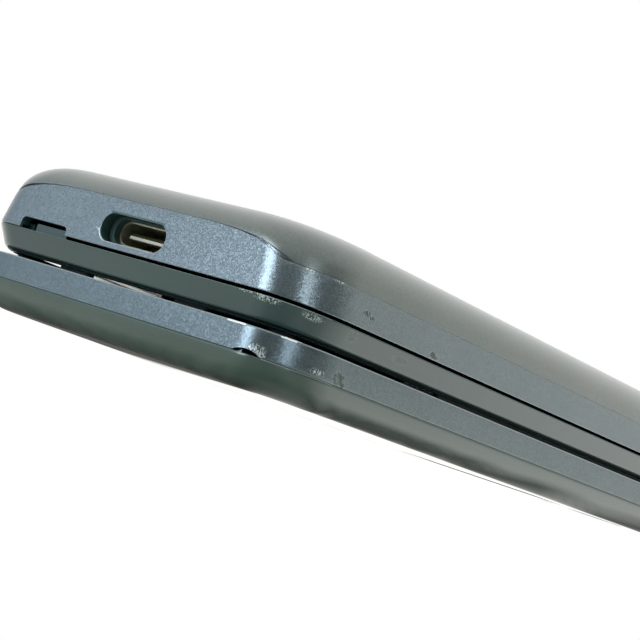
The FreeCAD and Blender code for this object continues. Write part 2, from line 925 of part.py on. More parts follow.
def shield_cans():
    # The processor's and the power circuits' cans side by side, and the radio's can nearer the hinge.
    aside = (can_width + can_apart) / 2
    processor_y = shelf_back + processor_can_gap + processor_can_length / 2
    power_y = shelf_back + power_can_gap + power_can_length / 2
    radio_y = card_front + radio_can_lap - radio_can_length / 2
    places = (
        (-aside, processor_y, can_width, processor_can_length),
        (aside, power_y, can_width, power_can_length),
        (0.0, radio_y, radio_can_width, radio_can_length),
    )
    cans = []
    for x, y, width, length in places:
        can = rounded_plate(x, y, width, length, can_corner, board_top + glue_gap, midplate_z - can_wall)
        corner = can_corner - can_wall
        hollow = rounded_plate(x, y, width - 2 * can_wall, length - 2 * can_wall, corner,
                               board_top, midplate_z - 2 * can_wall)
        cans.append(can.cut(hollow))
    return Part.makeCompound(cans)


def antenna():
    z = shelf_top + glue_gap
    a = half_width - antenna_margin
    front = free_y + antenna_setback
    strip = block(-a, a, front, front + antenna_width, z, z + foil_thick)
    leg_x = antenna_leg_x - antenna_leg / 2
    leg_y = front + antenna_width
    leg = block(leg_x, leg_x + antenna_leg, leg_y, leg_y + antenna_leg_length, z, z + foil_thick)
    return joined([strip, leg])


def case_screws():
    screws = []
    for x, y in case_screw_places():
        seat = (floor_z if y > shelf_back else shelf_top) + glue_gap
        top = seat + case_head_height
        head = disc(x, y, seat, top, case_head_radius)
        drive = disc(x, y, top - recess_depth, top + over, recess_radius)
        shank = disc(x, y, plate_z + screw_start, seat + 0.08, case_screw_radius - 0.03)
        screws.append(joined([head, shank]).cut(drive))
    return Part.makeCompound(screws)


def vibration_motor():
    x = half_width - motor_side_gap
    y = hinge_y - motor_hinge_gap
    low = board_top + running_gap
    return disc(x, y, low, low + motor_height, motor_radius)


# USB-C receptacle

def usb_shell():
    end = mouth_y + shell_length
    outer = stadium(shell_half_width, shell_half_height, mouth_y, end)
    inner = stadium(shell_half_width - shell_wall, shell_half_height - shell_wall,
                    mouth_y - over, end - shell_back_wall)
    a = foot_width / 2
    y = mouth_y + foot_setback
    top = port_z - shell_half_height + fit_gap
    low = board_top + glue_gap
    feet = [block(sx * foot_x - a, sx * foot_x + a, y, y + foot_length, low, top) for sx in (1, -1)]
    return joined([outer.cut(inner)] + feet)


def usb_tongue():
    back = mouth_y + shell_length - shell_back_wall
    room = shell_wall + glue_gap
    base = stadium(shell_half_width - room, shell_half_height - room, back - tongue_base, back - glue_gap)
    a = tongue_width / 2
    b = tongue_thick / 2
    blade = block(-a, a, mouth_y + tongue_setback, back - tongue_base / 2, port_z - b, port_z + b)
    return joined([base, blade])


def usb_seal():
    # The dark ring between the case's opening and the mouth of the shell.
    front = mouth_y - seal_thick + glue_gap
    ring = stadium(port_half_width - running_gap, port_half_height - running_gap, front, mouth_y - glue_gap)
    hole = stadium(shell_half_width - running_gap, shell_half_height - glue_gap - fit_gap,
                   front - over, mouth_y + over)
    return ring.cut(hole)


# Lid frame: the band round the lid, the chassis plate and the hinge barrel

def finger_notch():
    # A shallow scoop under the band's edge, where a nail opens the lid.
    turn = math.radians(notch_turn)
    radius = (notch_width ** 2 / 4 + notch_depth ** 2) / (2 * notch_depth)
    x = notch_centre + notch_start * math.sin(turn)
    y = free_y + notch_setback - notch_start * math.cos(turn)
    axis = point(-math.sin(turn), math.cos(turn), 0)
    scoop = Part.makeCylinder(radius, notch_reach, point(x, y, frame_z + notch_depth - radius), axis)
    near = block(-phone_width, phone_width, -phone_length, phone_length,
                 frame_z - 2 * fit_gap, frame_z + 2 * over)
    return scoop.common(near)


def lid_frame():
    outer = tapered(frame_z, panel_step, lid_top, panel_step + frame_lean, lid_back - panel_step, lid_back)
    inner_back = lid_back - frame_wall
    inner = tapered(frame_z - over, band_inner, lid_top + over, band_inner, inner_back, inner_back)
    lip_side = panel_step + panel_wall + chassis_lip_gap
    hollow_side = lip_side + chassis_lip_width
    lip = slab(chassis_z, frame_z, lip_side, inner_back - 0.2)
    web = slab(frame_z, frame_z + chassis_web, band_inner - 0.2, inner_back + 0.2)
    hollow = slab(chassis_z - over, lid_top, hollow_side, inner_back - 0.2 - chassis_lip_width)
    plate = slab(chassis_z, frame_z, hollow_side - fit_gap, chassis_back)
    a = chassis_notch_width / 2
    plate = plate.cut(block(-a, a, free_y, free_y + chassis_notch_length, chassis_z - over, frame_z + over))
    frame = joined([outer.cut(inner), joined([lip, web]).cut(hollow), plate])
    neck = block(-barrel_half, barrel_half, lid_back - over, hinge_y, frame_z + fit_gap, lid_top)
    frame = joined([frame, neck, hinge_rod(-barrel_half, barrel_half, barrel_radius)])
    frame = frame.cut(hinge_rod(-barrel_half + bearing_web, barrel_half + over, barrel_radius - barrel_wall))
    frame = frame.cut(hinge_rod(-barrel_half - over, 0, shaft_radius + running_gap))
    for side in (1, -1):
        a, b = sorted((side * barrel_half, side * (half_width + over)))
        frame = frame.cut(hinge_rod(a, b, barrel_radius + cradle_gap))
    frame = frame.cut(block(flex_left - flex_side_gap, flex_right + flex_side_gap, lid_back - 3 * over,
                            hinge_y - over, flex_z - flex_low_gap, flex_z + flex_high_gap))
    for x, y in lid_screw_places():
        frame = frame.fuse(disc(x, y, chassis_z, bezel_z - running_gap, lid_boss_radius))
        frame = frame.cut(disc(x, y, chassis_z - over, lid_top, lid_screw_radius + 0.03))
    return frame.cut(finger_notch()).removeSplitter()


# Outer panel of the lid: a shallow dish whose flat the phone rests on

def dish(wall):
    sections = []
    steps = 6
    depth = panel_depth - wall
    for i in range(steps + 1):
        angle = math.radians(90.0 * i / steps)
        inset = panel_step + wall + panel_round * (1 - math.cos(angle) ** panel_power)
        z = panel_depth - depth * math.sin(angle) ** panel_power
        sections.append(plan(z, inset, inset, lid_back - inset))
    return Part.makeLoft(sections, True, False)


def outer_panel():
    panel = dish(0.0).cut(dish(panel_wall))
    rim = panel_step + panel_wall
    panel = panel.cut(slab(panel_depth - running_gap, panel_depth, rim, lid_back - rim))
    panel = panel.cut(rounded_plate(0, sub_window_y, sub_window_width, sub_window_length, sub_window_corner,
                                    -over, 2 * over))
    panel = panel.cut(disc(camera_x, camera_y, -over, 2 * over, camera_window_radius))
    return panel.cut(disc(camera_x - flash_offset, camera_y, -over, 2 * over, flash_radius))


def camera_windows():
    low = glass_sink
    top = low + camera_glass
    ring = disc(camera_x, camera_y, low, top, camera_window_radius - glass_side_gap)
    flash = disc(camera_x - flash_offset, camera_y, low, top, flash_radius - glass_side_gap)
    return Part.makeCompound([ring, flash])


def camera_module():
    low = glass_sink + camera_glass + fit_gap
    lens = disc(camera_x, camera_y, low, low + lens_height, lens_radius)
    body = rounded_plate(camera_x, camera_y, camera_size, camera_size, camera_corner,
                         low + lens_height - 0.2, bezel_z - 2 * fit_gap)
    aperture = disc(camera_x, camera_y, low - over, low + aperture_depth, aperture_radius)
    return joined([lens, body]).cut(aperture)


def sub_display_window():
    gap = 2 * glass_side_gap
    return rounded_plate(0, sub_window_y, sub_window_width - gap, sub_window_length - gap,
                         sub_window_corner - 0.05, glass_sink, glass_sink + sub_window_thick)


def sub_display():
    lap = 2 * sub_display_lap
    low = max(glass_sink + sub_window_thick, panel_wall) + running_gap
    return rounded_plate(0, sub_window_y, sub_window_width + lap, sub_window_length + lap,
                         sub_display_corner, low, low + sub_display_thick)


def lid_board():
    # The board under the main display, and its strip round the small display to the flex cable.
    low = lid_board_height
    top = low + lid_board_thick
    front = free_y + lid_board_front_gap
    back = sub_window_y - lid_board_back_gap
    length = back - front
    main = rounded_plate(0, (front + back) / 2, lid_board_width, length, over, low, top)
    strip_x = lid_strip_side_gap - half_width
    strip_back = lid_back - lid_strip_lap
    strip = block(strip_x, strip_x + lid_strip_width, back - lid_strip_lap, strip_back, low, top)
    landing = block(strip_x, flex_right + over, strip_back - lid_landing_length, strip_back, low, top)
    chips = (
        (-lid_board_width * 0.21, front + length * 0.27, chip_large, chip_large),
        (lid_board_width * 0.24, front + length * 0.57, chip_medium, chip_medium),
        (-lid_board_width * 0.26, front + length * 0.70, chip_small_width, chip_small_length),
    )
    pieces = [main, strip, landing]
    for x, y, width, across in chips:
        pieces.append(rounded_plate(x, y, width, across, chip_corner, low - chip_height, low + 0.01))
    return joined(pieces)


def main_display():
    low = frame_z + display_gap
    return rounded_plate(0, window_y, display_width, display_length, display_corner, low, low + display_thick)


def display_window():
    top = lid_top - window_setback
    return rounded_plate(0, window_y, window_width - 2 * fit_gap, window_length - 2 * fit_gap,
                         window_corner, top - window_thick, top)


def display_bezel():
    side = band_inner + fit_gap
    bezel = slab(bezel_z, lid_top, side, lid_back - frame_wall - fit_gap)
    low = bezel_z - over
    high = lid_top + over
    bezel = bezel.cut(rounded_plate(0, window_y, window_width, window_length,
                                    window_corner + fit_gap, low, high))
    bezel = bezel.cut(rounded_plate(0, earpiece_y, earpiece_slot_width, earpiece_slot_length,
                                    earpiece_slot_corner, low, high))
    for x, y in lid_screw_places():
        bezel = bezel.cut(disc(x, y, low, high, lid_screw_radius + screw_clearance + 0.03))
        bezel = bezel.cut(disc(x, y, bezel_z + lid_head_height, high, lid_head_radius + screw_clearance))
    return bezel


def earpiece():
    top = bezel_z - running_gap
    return rounded_plate(0, earpiece_y + earpiece_offset, earpiece_width, earpiece_length, earpiece_corner,
                         top - earpiece_height, top)


def earpiece_mesh():
    top = lid_top - mesh_sink
    return rounded_plate(0, earpiece_y, earpiece_slot_width - fit_gap, earpiece_slot_length - fit_gap,
                         earpiece_slot_corner - running_gap, top - mesh_thick, top)


def lid_screws():
    screws = []
    seat = bezel_z + lid_head_height + glue_gap
    for x, y in lid_screw_places():
        head = disc(x, y, seat, seat + lid_head_height, lid_head_radius)
        shank = disc(x, y, chassis_z + lid_screw_start, seat + 0.08, lid_screw_radius)
        screws.append(joined([head, shank]))
    return Part.makeCompound(screws)


def bumpers():
    # Two strips near the free end, and a round pad over each screw of the lid.
    pads = []
    y = free_y + bumper_setback
    top = lid_top + bumper_height
    for side in (1, -1):
        pads.append(rounded_plate(side * bumper_x, y, bumper_width, bumper_length, bumper_corner,
                                  lid_top + 0.01, top))
    low = bezel_z + 2 * (lid_head_height + glue_gap)
    for x, y in lid_screw_places():
        pads.append(disc(x, y, low, lid_top + pad_height, pad_radius))
    return Part.makeCompound(pads)


def closing_magnet():
    y = free_y + magnet_setback
    a = magnet_width / 2
    low = panel_wall + magnet_gap
    return block(magnet_x - a, magnet_x + a, y, y + magnet_length, low, chassis_z - fit_gap)


# Hinge: spring unit in the right of the barrel, plain pin on the left

def drive_head(gap):
    # The square end of the shaft, which turns with the keypad half.
    a = head_size / 2 + gap
    bar = block(head_left - gap, head_right + gap, hinge_y - a, hinge_y + a, hinge_z - a, hinge_z + a)
    neck = hinge_rod(knuckle_in - over, head_left + fit_gap, shaft_radius + gap + glue_gap)
    return joined([bar, neck])


def lobes(x0, x1):
    # Two opposed wedges of a ring on the hinge axis.
    ring = hinge_rod(x0, x1, lobe_outer).cut(hinge_rod(x0 - over, x1 + over, lobe_inner))
    reach = 2 * lobe_outer
    tip = point(x0, hinge_y, hinge_z)
    wedges = []
    for start in (lobe_start, lobe_start + 180):
        a = math.radians(start)
        b = math.radians(start + lobe_sweep)
        first = tip + point(0, reach * math.cos(a), reach * math.sin(a))
        last = tip + point(0, reach * math.cos(b), reach * math.sin(b))
        outline = [Part.makeLine(tip, first), Part.makeLine(first, last), Part.makeLine(last, tip)]
        wedges.append(Part.Face(Part.Wire(outline)).extrude(point(x1 - x0, 0, 0)))
    return ring.common(wedges[0].fuse(wedges[1]))


def hinge_housing():
    can = hinge_rod(housing_left, housing_right, housing_radius)
    can = can.cut(hinge_rod(housing_left + housing_wall, housing_right + over, housing_bore))
    return can.cut(hinge_rod(housing_left - over, housing_right, shaft_radius + running_gap))


def hinge_follower():
    lobe_left = cam_left - lobe_height - fit_gap
    body = hinge_rod(follower_left, lobe_left + lobe_gap, housing_bore - running_gap + glue_gap)
    body = joined([body, lobes(lobe_left, cam_left - fit_gap)])
    return body.cut(hinge_rod(0, housing_right, shaft_radius + running_gap))


def hinge_shaft():
    shaft = hinge_rod(housing_left + housing_wall + fit_gap, head_left + 2 * fit_gap, shaft_radius)
    cam = hinge_rod(cam_left, cam_right, housing_bore - running_gap)
    head = drive_head(0.0).common(hinge_rod(head_left, knuckle_out, 2 * head_size))
    return joined([shaft, cam, head])


def hinge_spring():
    left = housing_left + housing_wall + running_gap
    right = follower_left - running_gap
    mean_radius = housing_bore - spring_gap - spring_wire / 2 - fit_gap
    pitch = (right - left - 2 * spring_wire) / spring_turns
    helix = Part.makeHelix(pitch, pitch * spring_turns, mean_radius)
    start = helix.Edges[0].Vertexes[0].Point
    profile = Part.Wire(Part.makeCircle(spring_wire / 2, start, point(0, 1, 0)))
    coil = Part.Wire(helix.Edges).makePipeShell([profile], True, False)
    coil.rotate(point(0, 0, 0), point(0, 1, 0), 90)
    coil.translate(point(left + spring_wire, hinge_y, hinge_z))
    return coil


def plain_pin():
    return hinge_rod(-knuckle_out + pin_outer_gap, -barrel_half + bearing_web + pin_inner_gap, shaft_radius)


def hinge_caps():
    caps = []
    for side in (1, -1):
        ends = (side * (knuckle_out - cap_depth + glue_gap), side * (knuckle_out - glue_gap))
        caps.append(hinge_rod(min(ends), max(ends), barrel_radius - cap_wall - running_gap))
    return Part.makeCompound(caps)


def hinge_flex():
    # One turn of film round the inside of the barrel, with a tail out to the lid's board.
    bore = hinge_rod(flex_left - over, flex_right + over, flex_radius)
    roll = hinge_rod(flex_left, flex_right, flex_radius + flex_thick).cut(bore)
    gap_z = hinge_z - flex_opening - flex_opening_rise
    gap = block(flex_left - over, flex_right + over, hinge_y - barrel_radius, hinge_y,
                gap_z, gap_z + flex_opening)
    tail = block(flex_left, flex_right, flex_end, hinge_y, flex_z, flex_z + flex_thick).cut(bore)
    plug_z = lid_board_height + lid_board_thick + glue_gap
    plug = block(flex_left + flex_plug_inset, flex_right - flex_plug_inset,
                 flex_end, flex_end + flex_plug_length, plug_z, flex_z + 0.01)
    return joined([roll.cut(gap), tail, plug])


def build():
    nodes = {
        "outer_panel": outer_panel(),
        "lid_frame": lid_frame(),
        "display_bezel": display_bezel(),
        "main_display": main_display(),
        "display_window": display_window(),
        "sub_display": sub_display(),
        "sub_display_window": sub_display_window(),
        "camera_module": camera_module(),
        "camera_windows": camera_windows(),
        "earpiece": earpiece(),
        "earpiece_mesh": earpiece_mesh(),
        "lid_board": lid_board(),
        "bumpers": bumpers(),
        "lid_screws": lid_screws(),
        "closing_magnet": closing_magnet(),
        "hinge_can": hinge_housing(),
        "hinge_follower": hinge_follower(),
        "hinge_spring": hinge_spring(),
        "hinge_flex": hinge_flex(),
        "front_case": front_case(),
        "rear_case": rear_case(),
        "battery_cover": battery_cover(),
        "battery": battery(),
        "main_board": main_board(),
        "dome_sheet": dome_sheet(),
        "shield_cans": shield_cans(),
        "card_holder": card_holder(),
        "loudspeaker": loudspeaker(),
        "vibration_motor": vibration_motor(),
        "antenna": antenna(),
        "case_screws": case_screws(),
        "usb_shell": usb_shell(),
        "usb_tongue": usb_tongue(),
        "usb_seal": usb_seal(),
        "hinge_shaft": hinge_shaft(),
        "plain_pin": plain_pin(),
        "hinge_caps": hinge_caps(),
        "side_key_up": side_key(1),
        "side_key_down": side_key(0),
    }
    for name, spec in key_shapes().items():
        nodes[name] = key_solid(name, spec)
    return nodes


os.makedirs("parts", exist_ok=True)
for name, shape in build().items():
    shape.exportStep("parts/" + name + ".step")
    print(name, "solids", len(shape.Solids), "valid", shape.isValid(), "volume", round(shape.Volume, 1))
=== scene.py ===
import math

import bmesh
import bpy
import numpy as np
from mathutils import Matrix, Vector


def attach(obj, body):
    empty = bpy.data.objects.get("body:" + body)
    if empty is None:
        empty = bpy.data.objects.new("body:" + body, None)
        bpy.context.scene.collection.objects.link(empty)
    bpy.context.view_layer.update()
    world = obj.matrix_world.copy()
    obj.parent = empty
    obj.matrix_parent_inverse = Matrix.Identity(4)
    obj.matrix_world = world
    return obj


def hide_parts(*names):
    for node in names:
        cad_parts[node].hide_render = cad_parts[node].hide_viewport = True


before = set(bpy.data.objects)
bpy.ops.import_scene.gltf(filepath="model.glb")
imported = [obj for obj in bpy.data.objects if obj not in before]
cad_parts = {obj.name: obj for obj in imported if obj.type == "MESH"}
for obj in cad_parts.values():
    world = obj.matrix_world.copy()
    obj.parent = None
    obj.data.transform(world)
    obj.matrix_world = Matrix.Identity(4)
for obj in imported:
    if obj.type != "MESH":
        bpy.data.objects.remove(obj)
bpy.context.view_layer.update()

# A closed flip phone resting on the flat of its lid. Lengths in the dictionaries are millimetres, made metres
# where a mesh is written. X across, Y from the free end to the hinge, Z up to the battery cover.

mm = 0.001
print("frame loaded:", len(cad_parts), "nodes")


# The phone as a whole, the sizes that every shell shares
phone = {
    "halfWidth": 25.5, "freeY": -56.5, "hingeY": 51.3, "hingeZ": 6.61, "lidBack": 45.75,
    "frameZ": 3.36, "lidTop": 6.25, "frontZ": 6.97, "beltZ": 9.50, "caseZ": 9.85, "topZ": 18.25,
    "coverEnd": 30.0, "portZ": 12.14,
}
bodyPlan = {"across": 5.8, "along": 9.4, "fullness": 0.60}      # the free corners of the case and the lid
coverPlan = {"across": 7.5, "along": 10.0, "fullness": 0.65}    # the rounder corners of the battery cover
backPlan = {"corner": 2.4, "fullness": 0.55}
outlineSteps = {"side": 14, "corner": 26, "end": 10, "back": 5, "backCorner": 8}


# Camera: where the photograph was taken from
view = {
    "place": (130.41, -178.11, -2.25), "right": (0.74014, 0.58842, 0.32550),
    "up": (-0.20939, -0.25832, 0.94309), "ahead": (-0.63902, 0.76618, 0.06799),
    "focalPixels": 1649.86, "imagePixels": 640, "sensor": 36.0,
}
cameraData = bpy.data.cameras.new("photoCamera")
cameraData.sensor_width = view["sensor"]
cameraData.lens = view["sensor"] * view["focalPixels"] / view["imagePixels"]
cameraData.clip_start = 0.005
cameraData.clip_end = 20.0
camera = bpy.data.objects.new("photoCamera", cameraData)
bpy.context.scene.collection.objects.link(camera)
turn = Matrix((view["right"], view["up"], -Vector(view["ahead"]))).transposed()
camera.matrix_world = Matrix.Translation(Vector(view["place"]) * mm) @ turn.to_4x4()
bpy.context.scene.camera = camera
bpy.context.scene.view_settings.view_transform = "Standard"
print("camera set")


# Small helpers

def linear(code):
    # an sRGB hex colour as the linear colour that a socket takes
    parts = [int(code[i:i + 2], 16) / 255 for i in (1, 3, 5)]
    return tuple(p / 12.92 if p <= 0.04045 else ((p + 0.055) / 1.055) ** 2.4 for p in parts) + (1.0,)


def addNode(tree, kind, inputs=None, stops=(), **settings):
    # one node with its settings, its values and its links: a link is a node, for its first output, or a node
    # and one of its outputs; a ramp also has stops, each a place and a colour
    node = tree.nodes.new(kind)
    for name, value in settings.items():
        setattr(node, name, value)
    for name, value in (inputs or {}).items():
        if isinstance(value, bpy.types.Node):
            value = (value, 0)
        if isinstance(value, tuple) and isinstance(value[0], bpy.types.Node):
            tree.links.new(value[0].outputs[value[1]], node.inputs[name])
        else:
            node.inputs[name].default_value = value
    for index, (place, colour) in enumerate(stops):
        node.color_ramp.elements[index].position = place
        node.color_ramp.elements[index].color = linear(colour)
    return node


def newMaterial(name):
    # an empty material, its node tree, and the place on the object in metres that patterns are drawn by
    material = bpy.data.materials.new(name)
    material.use_nodes = True
    tree = material.node_tree
    tree.nodes.clear()
    return material, tree, (addNode(tree, "ShaderNodeTexCoord"), "Object")


def finishMaterial(material, kind, inputs):
    # the material with its last shader
    shader = addNode(material.node_tree, kind, inputs)
    addNode(material.node_tree, "ShaderNodeOutputMaterial", {"Surface": shader})
    return material


def between(value, low, high):
    return min(max((value - low) / (high - low), 0.0), 1.0)


def anglesBetween(start, end, steps):
    # angles in radians, evenly from one number of degrees to another
    return [math.radians(start + (end - start) * k / steps) for k in range(steps + 1)]


def objectFrom(name, data):
    item = bpy.data.objects.new(name, data)
    bpy.context.scene.collection.objects.link(item)
    return item


def shapeFrom(name, verts, faces, scale=mm):
    mesh = bpy.data.meshes.new(name)
    mesh.from_pydata([tuple(float(c) * scale for c in v) for v in verts], [], faces)
    mesh.update()
    return objectFrom(name, mesh)


def reworked(item, change):
    # the object after a change to its mesh
    work = bmesh.new()
    work.from_mesh(item.data)
    change(work)
    work.to_mesh(item.data)
    work.free()
    return item


def welded(work, gap):
    bmesh.ops.remove_doubles(work, verts=work.verts, dist=gap * mm)


def outwards(item):
    # welds the doubles and turns every face of a closed shape outwards
    def change(work):
        welded(work, 0.01)
        bmesh.ops.recalc_face_normals(work, faces=work.faces)
    return reworked(item, change)


def baked(item):
    # the object with its modifiers applied, as a plain mesh
    mesh = bpy.data.meshes.new_from_object(item.evaluated_get(bpy.context.evaluated_depsgraph_get()))
    item.modifiers.clear()
    old = item.data
    item.data = mesh
    bpy.data.meshes.remove(old)
    return item


def modified(item, kind, **settings):
    # the object after one modifier with its settings
    change = item.modifiers.new(kind, kind)
    for name, value in settings.items():
        setattr(change, name, value)
    return baked(item)


def cutWith(item, tool):
    modified(item, "BOOLEAN", operation="DIFFERENCE", solver="EXACT", object=tool)
    bpy.data.objects.remove(tool)
    return item


def roundedEdges(item, width):
    return modified(item, "BEVEL", width=width * mm, segments=3, limit_method="ANGLE",
                    angle_limit=math.radians(60), harden_normals=False)


def smoothed(item):
    # smooth shading that stays crisp at real edges
    item.data.shade_smooth()
    item.data.set_sharp_from_angle(angle=math.radians(32))
    return modified(item, "WEIGHTED_NORMAL", keep_sharp=True, weight=80)


def within(c, *spans):
    return all(low < value < high for value, (low, high) in zip(c, spans))


def markFaces(item, index, test):
    # gives another finish to the faces that pass a test on their centre, in millimetres, and their normal
    for face in item.data.polygons:
        if test(face.center / mm, face.normal):
            face.material_index = index


def dress(item, *materials):
    # fills the slots in order, and keeps what each face was marked with
    slots = item.data.materials
    for index, material in enumerate(materials):
        if index < len(slots):
            slots[index] = material
        else:
            slots.append(material)
    return item


def joined(name, items):
    # one object from several, each keeping its own finish
    used = []
    for item in items:
        used += [material for material in item.data.materials if material not in used]
    work = bmesh.new()
    for item in items:
        start = len(work.faces)
        work.from_mesh(item.data)
        work.faces.ensure_lookup_table()
        own = [used.index(material) for material in item.data.materials] or [0]
        for face in work.faces[start:]:
            face.material_index = own[face.material_index]
    mesh = bpy.data.meshes.new(name)
    work.to_mesh(mesh)
    work.free()
    for item in items:
        bpy.data.objects.remove(item)
    return dress(objectFrom(name, mesh), *used)


def cadCopy(node):
    # a welded copy of a CAD node's mesh, to be cut and joined with finer skins
    item = objectFrom(node + "Core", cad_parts[node].data.copy())
    item.data.materials.clear()
    for name in ("custom_normal", "sharp_edge", "sharp_face"):
        if name in item.data.attributes:
            item.data.attributes.remove(item.data.attributes[name])
    return reworked(item, lambda work: welded(work, 0.002))


# The plan outline that all the shells follow, and the ways to make a solid from outlines

def cornerCurve(first, corner, last, fullness, count):
    first, corner, last = (np.array(p, float) for p in (first, corner, last))
    poles = [first, first + (corner - first) * fullness, last + (corner - last) * fullness, last]
    t = np.linspace(0, 1, count + 1)[:, None]
    return (poles[0] * (1 - t) ** 3 + 3 * poles[1] * t * (1 - t) ** 2
            + 3 * poles[2] * t ** 2 * (1 - t) + poles[3] * t ** 3)


def sharedOutline(side, end, back, plan, closed):
    # right half from the back to the middle of the free end, then the same on the left
    right = phone["halfWidth"] - side
    front = phone["freeY"] + end
    inner = right - plan["across"]
    start = front + plan["along"]
    half = []
    late = back
    if closed:
        small = right - backPlan["corner"]
        late = back - backPlan["corner"]
        half += [(x, back) for x in np.linspace(0, small, outlineSteps["back"])[:-1]]
        half += [tuple(p) for p in cornerCurve((small, back), (right, back), (right, late),
                                               backPlan["fullness"], outlineSteps["backCorner"])[:-1]]
    half += [(right, y) for y in np.linspace(late, start, outlineSteps["side"])[:-1]]
    half += [tuple(p) for p in cornerCurve((right, start), (right, front), (inner, front), plan["fullness"],
                                           outlineSteps["corner"])]
    half += [(x, front) for x in np.linspace(inner, 0, outlineSteps["end"])[1:]]
    other = [(-x, y) for x, y in reversed(half[:-1])]
    return np.array(half + (other[:-1] if closed else other))


def pressInside(points, outline, blend=0.12):
    # moves plan points that lie outside an outline onto it, with a soft turn where the two surfaces meet
    a = outline
    b = np.roll(outline, -1, axis=0)
    ab = b - a
    length = np.maximum((ab ** 2).sum(1), 1e-12)
    t = np.clip(((points[:, None, :] - a[None]) * ab[None]).sum(2) / length, 0, 1)
    near = a[None] + ab[None] * t[..., None]
    distance = np.sqrt(((points[:, None, :] - near) ** 2).sum(2))
    pick = distance.argmin(1)
    rows = np.arange(len(points))
    near = near[rows, pick]
    distance = distance[rows, pick]
    x, y = points[:, 0:1], points[:, 1:2]
    ax, ay, bx, by = a[:, 0], a[:, 1], b[:, 0], b[:, 1]
    crossing = (ay[None] > y) != (by[None] > y)
    slope = (bx - ax)[None] * (y - ay[None]) / np.where(by == ay, 1e-12, by - ay)[None] + ax[None]
    inside = (crossing & (x < slope)).sum(1) % 2 == 1
    signed = np.where(inside, -distance, distance)
    tangent = ab[pick] / np.sqrt(length[pick])[:, None]
    normal = np.stack([tangent[:, 1], -tangent[:, 0]], 1)
    flat = distance > 1e-6
    normal[flat] = ((points - near)[flat] / distance[flat][:, None]) * np.sign(signed[flat])[:, None]
    return points - normal * ((np.sqrt(signed ** 2 + blend ** 2) + signed) / 2)[:, None]


def pressedRings(grid, limitAt, low):
    # every point above low is drawn in to the outline that limitAt gives for its height
    flat = grid.reshape(-1, 3).copy()
    levels = np.round(flat[:, 2], 2)
    for z in np.unique(levels):
        if z > low:
            pick = levels == z
            flat[pick, 0:2] = pressInside(flat[pick, 0:2], limitAt(float(z)))
    return flat.reshape(grid.shape)


def sweptShape(name, grid):
    # closed sections, a row each, carried along a path and capped at both ends
    grid = np.asarray(grid)
    rows, columns, _ = grid.shape
    faces = []
    for i in range(rows - 1):
        for k in range(columns):
            m = (k + 1) % columns
            faces.append((i * columns + k, i * columns + m, (i + 1) * columns + m, (i + 1) * columns + k))
    faces.append(tuple(range(columns)))
    faces.append(tuple(reversed(range((rows - 1) * columns, rows * columns))))
    return outwards(shapeFrom(name, grid.reshape(-1, 3), faces))


def extruded(name, outline, low, high, axis=2):
    # a closed outline in the two other directions made solid between two places along x, y or z: 0, 1 or 2
    rings = [[tuple(np.insert(p, axis, end)) for p in outline] for end in (low, high)]
    return sweptShape(name, rings)


def roundedRectangle(x, y, width, length, radius, steps=8):
    a = width / 2 - radius
    b = length / 2 - radius
    return [(x + cx + radius * math.cos(angle), y + cy + radius * math.sin(angle))
            for cx, cy, start in ((a, b, 0), (-a, b, 90), (-a, -b, 180), (a, -b, 270))
            for angle in anglesBetween(start, start + 90, steps)]


def roundedBar(name, spanU, spanV, radius, ends, axis):
    # a bar with a rounded section, along x (section in y and z) or along y (section in x and z)
    ring = roundedRectangle(sum(spanU) / 2, sum(spanV) / 2, spanU[1] - spanU[0], spanV[1] - spanV[0],
                            radius, 6)
    return extruded(name, ring, ends[0], ends[1], axis)


def band(name, section, outlineAt):
    # a section of (depth, height) points carried round; outlineAt gives the plan outline for each of them
    rings = [outlineAt(depth, height) for depth, height in section]
    grid = [[(ring[i][0], ring[i][1], height) for ring, (depth, height) in zip(rings, section)]
            for i in range(len(rings[0]))]
    return sweptShape(name, grid)


def envelope(name, outlineAt, depths, heights):
    (near, far), (low, high) = depths, heights
    return band(name, [(near, low), (far, low), (far, high), (near, high)], outlineAt)


def coreOf(node, outlineAt, skin, heights):
    # a CAD node's copy without its outermost layer, which a finer skin takes the place of
    outside, overlap = 1.5, 0.02
    return cutWith(cadCopy(node), envelope("skinRoom", outlineAt, (-outside, skin - overlap), heights))


# Rear case: a drafted wall up to the cover's parting line, and the hood that slopes down to the hinge

rear = {
    "sideDraft": 0.1655, "endDraft": 0.052, "skin": 0.62, "beltRound": 0.10, "seamRound": 0.05,
    "seamRise": 2.01, "seamHalfSpan": 21.9, "seamHeight": 3.97, "seamGap": 0.03,
    "slopeStart": 13.3, "midRadius": 9.2, "midAngle": 101.3, "endRadius": 5.65, "endAngle": 50.0,
    "cradle": 5.45, "closing": 0.28, "closeStart": 15.5, "closeRun": 1.5, "pressFrom": 11.5,
    "hoodStations": ((30.0, 38.0, 6), (38.5, 53.0, 26)), "lipStart": 53.3, "lipSteps": 7,
    "roofBlend": 0.03, "roofReach": 1.6, "bayWallFoot": 12.1, "bayWall": 1.5, "bayWallSink": 0.1,
    "coreCut": (8.0, 19.0), "hoodCut": (0.0, 25.0), "roundSteps": 5, "wallRows": 12,
}
crown = {"radius": 5.0, "draft": 14.0, "sideLine": 5.76, "endLine": 4.82, "wallTop": 13.2, "bendFrom": 13.55,
         "bendTo": 14.3, "centreZ": phone["topZ"] - 5.0, "sectionSteps": (9, 3, 18, 10)}
openEnd = 60.0      # a back edge beyond the hinge, for outlines whose back isn't used


def rearOutline(depth, z, closed=False, back=phone["coverEnd"]):
    rise = z - phone["beltZ"]
    return sharedOutline(rear["sideDraft"] * rise + depth, rear["endDraft"] * rise + depth, back, bodyPlan,
                         closed)


def crownTangent():
    draft = math.radians(crown["draft"])
    rise, run = crown["radius"] * math.sin(draft), crown["radius"] * math.cos(draft)
    return crown["centreZ"] + rise, crown["sideLine"] - run


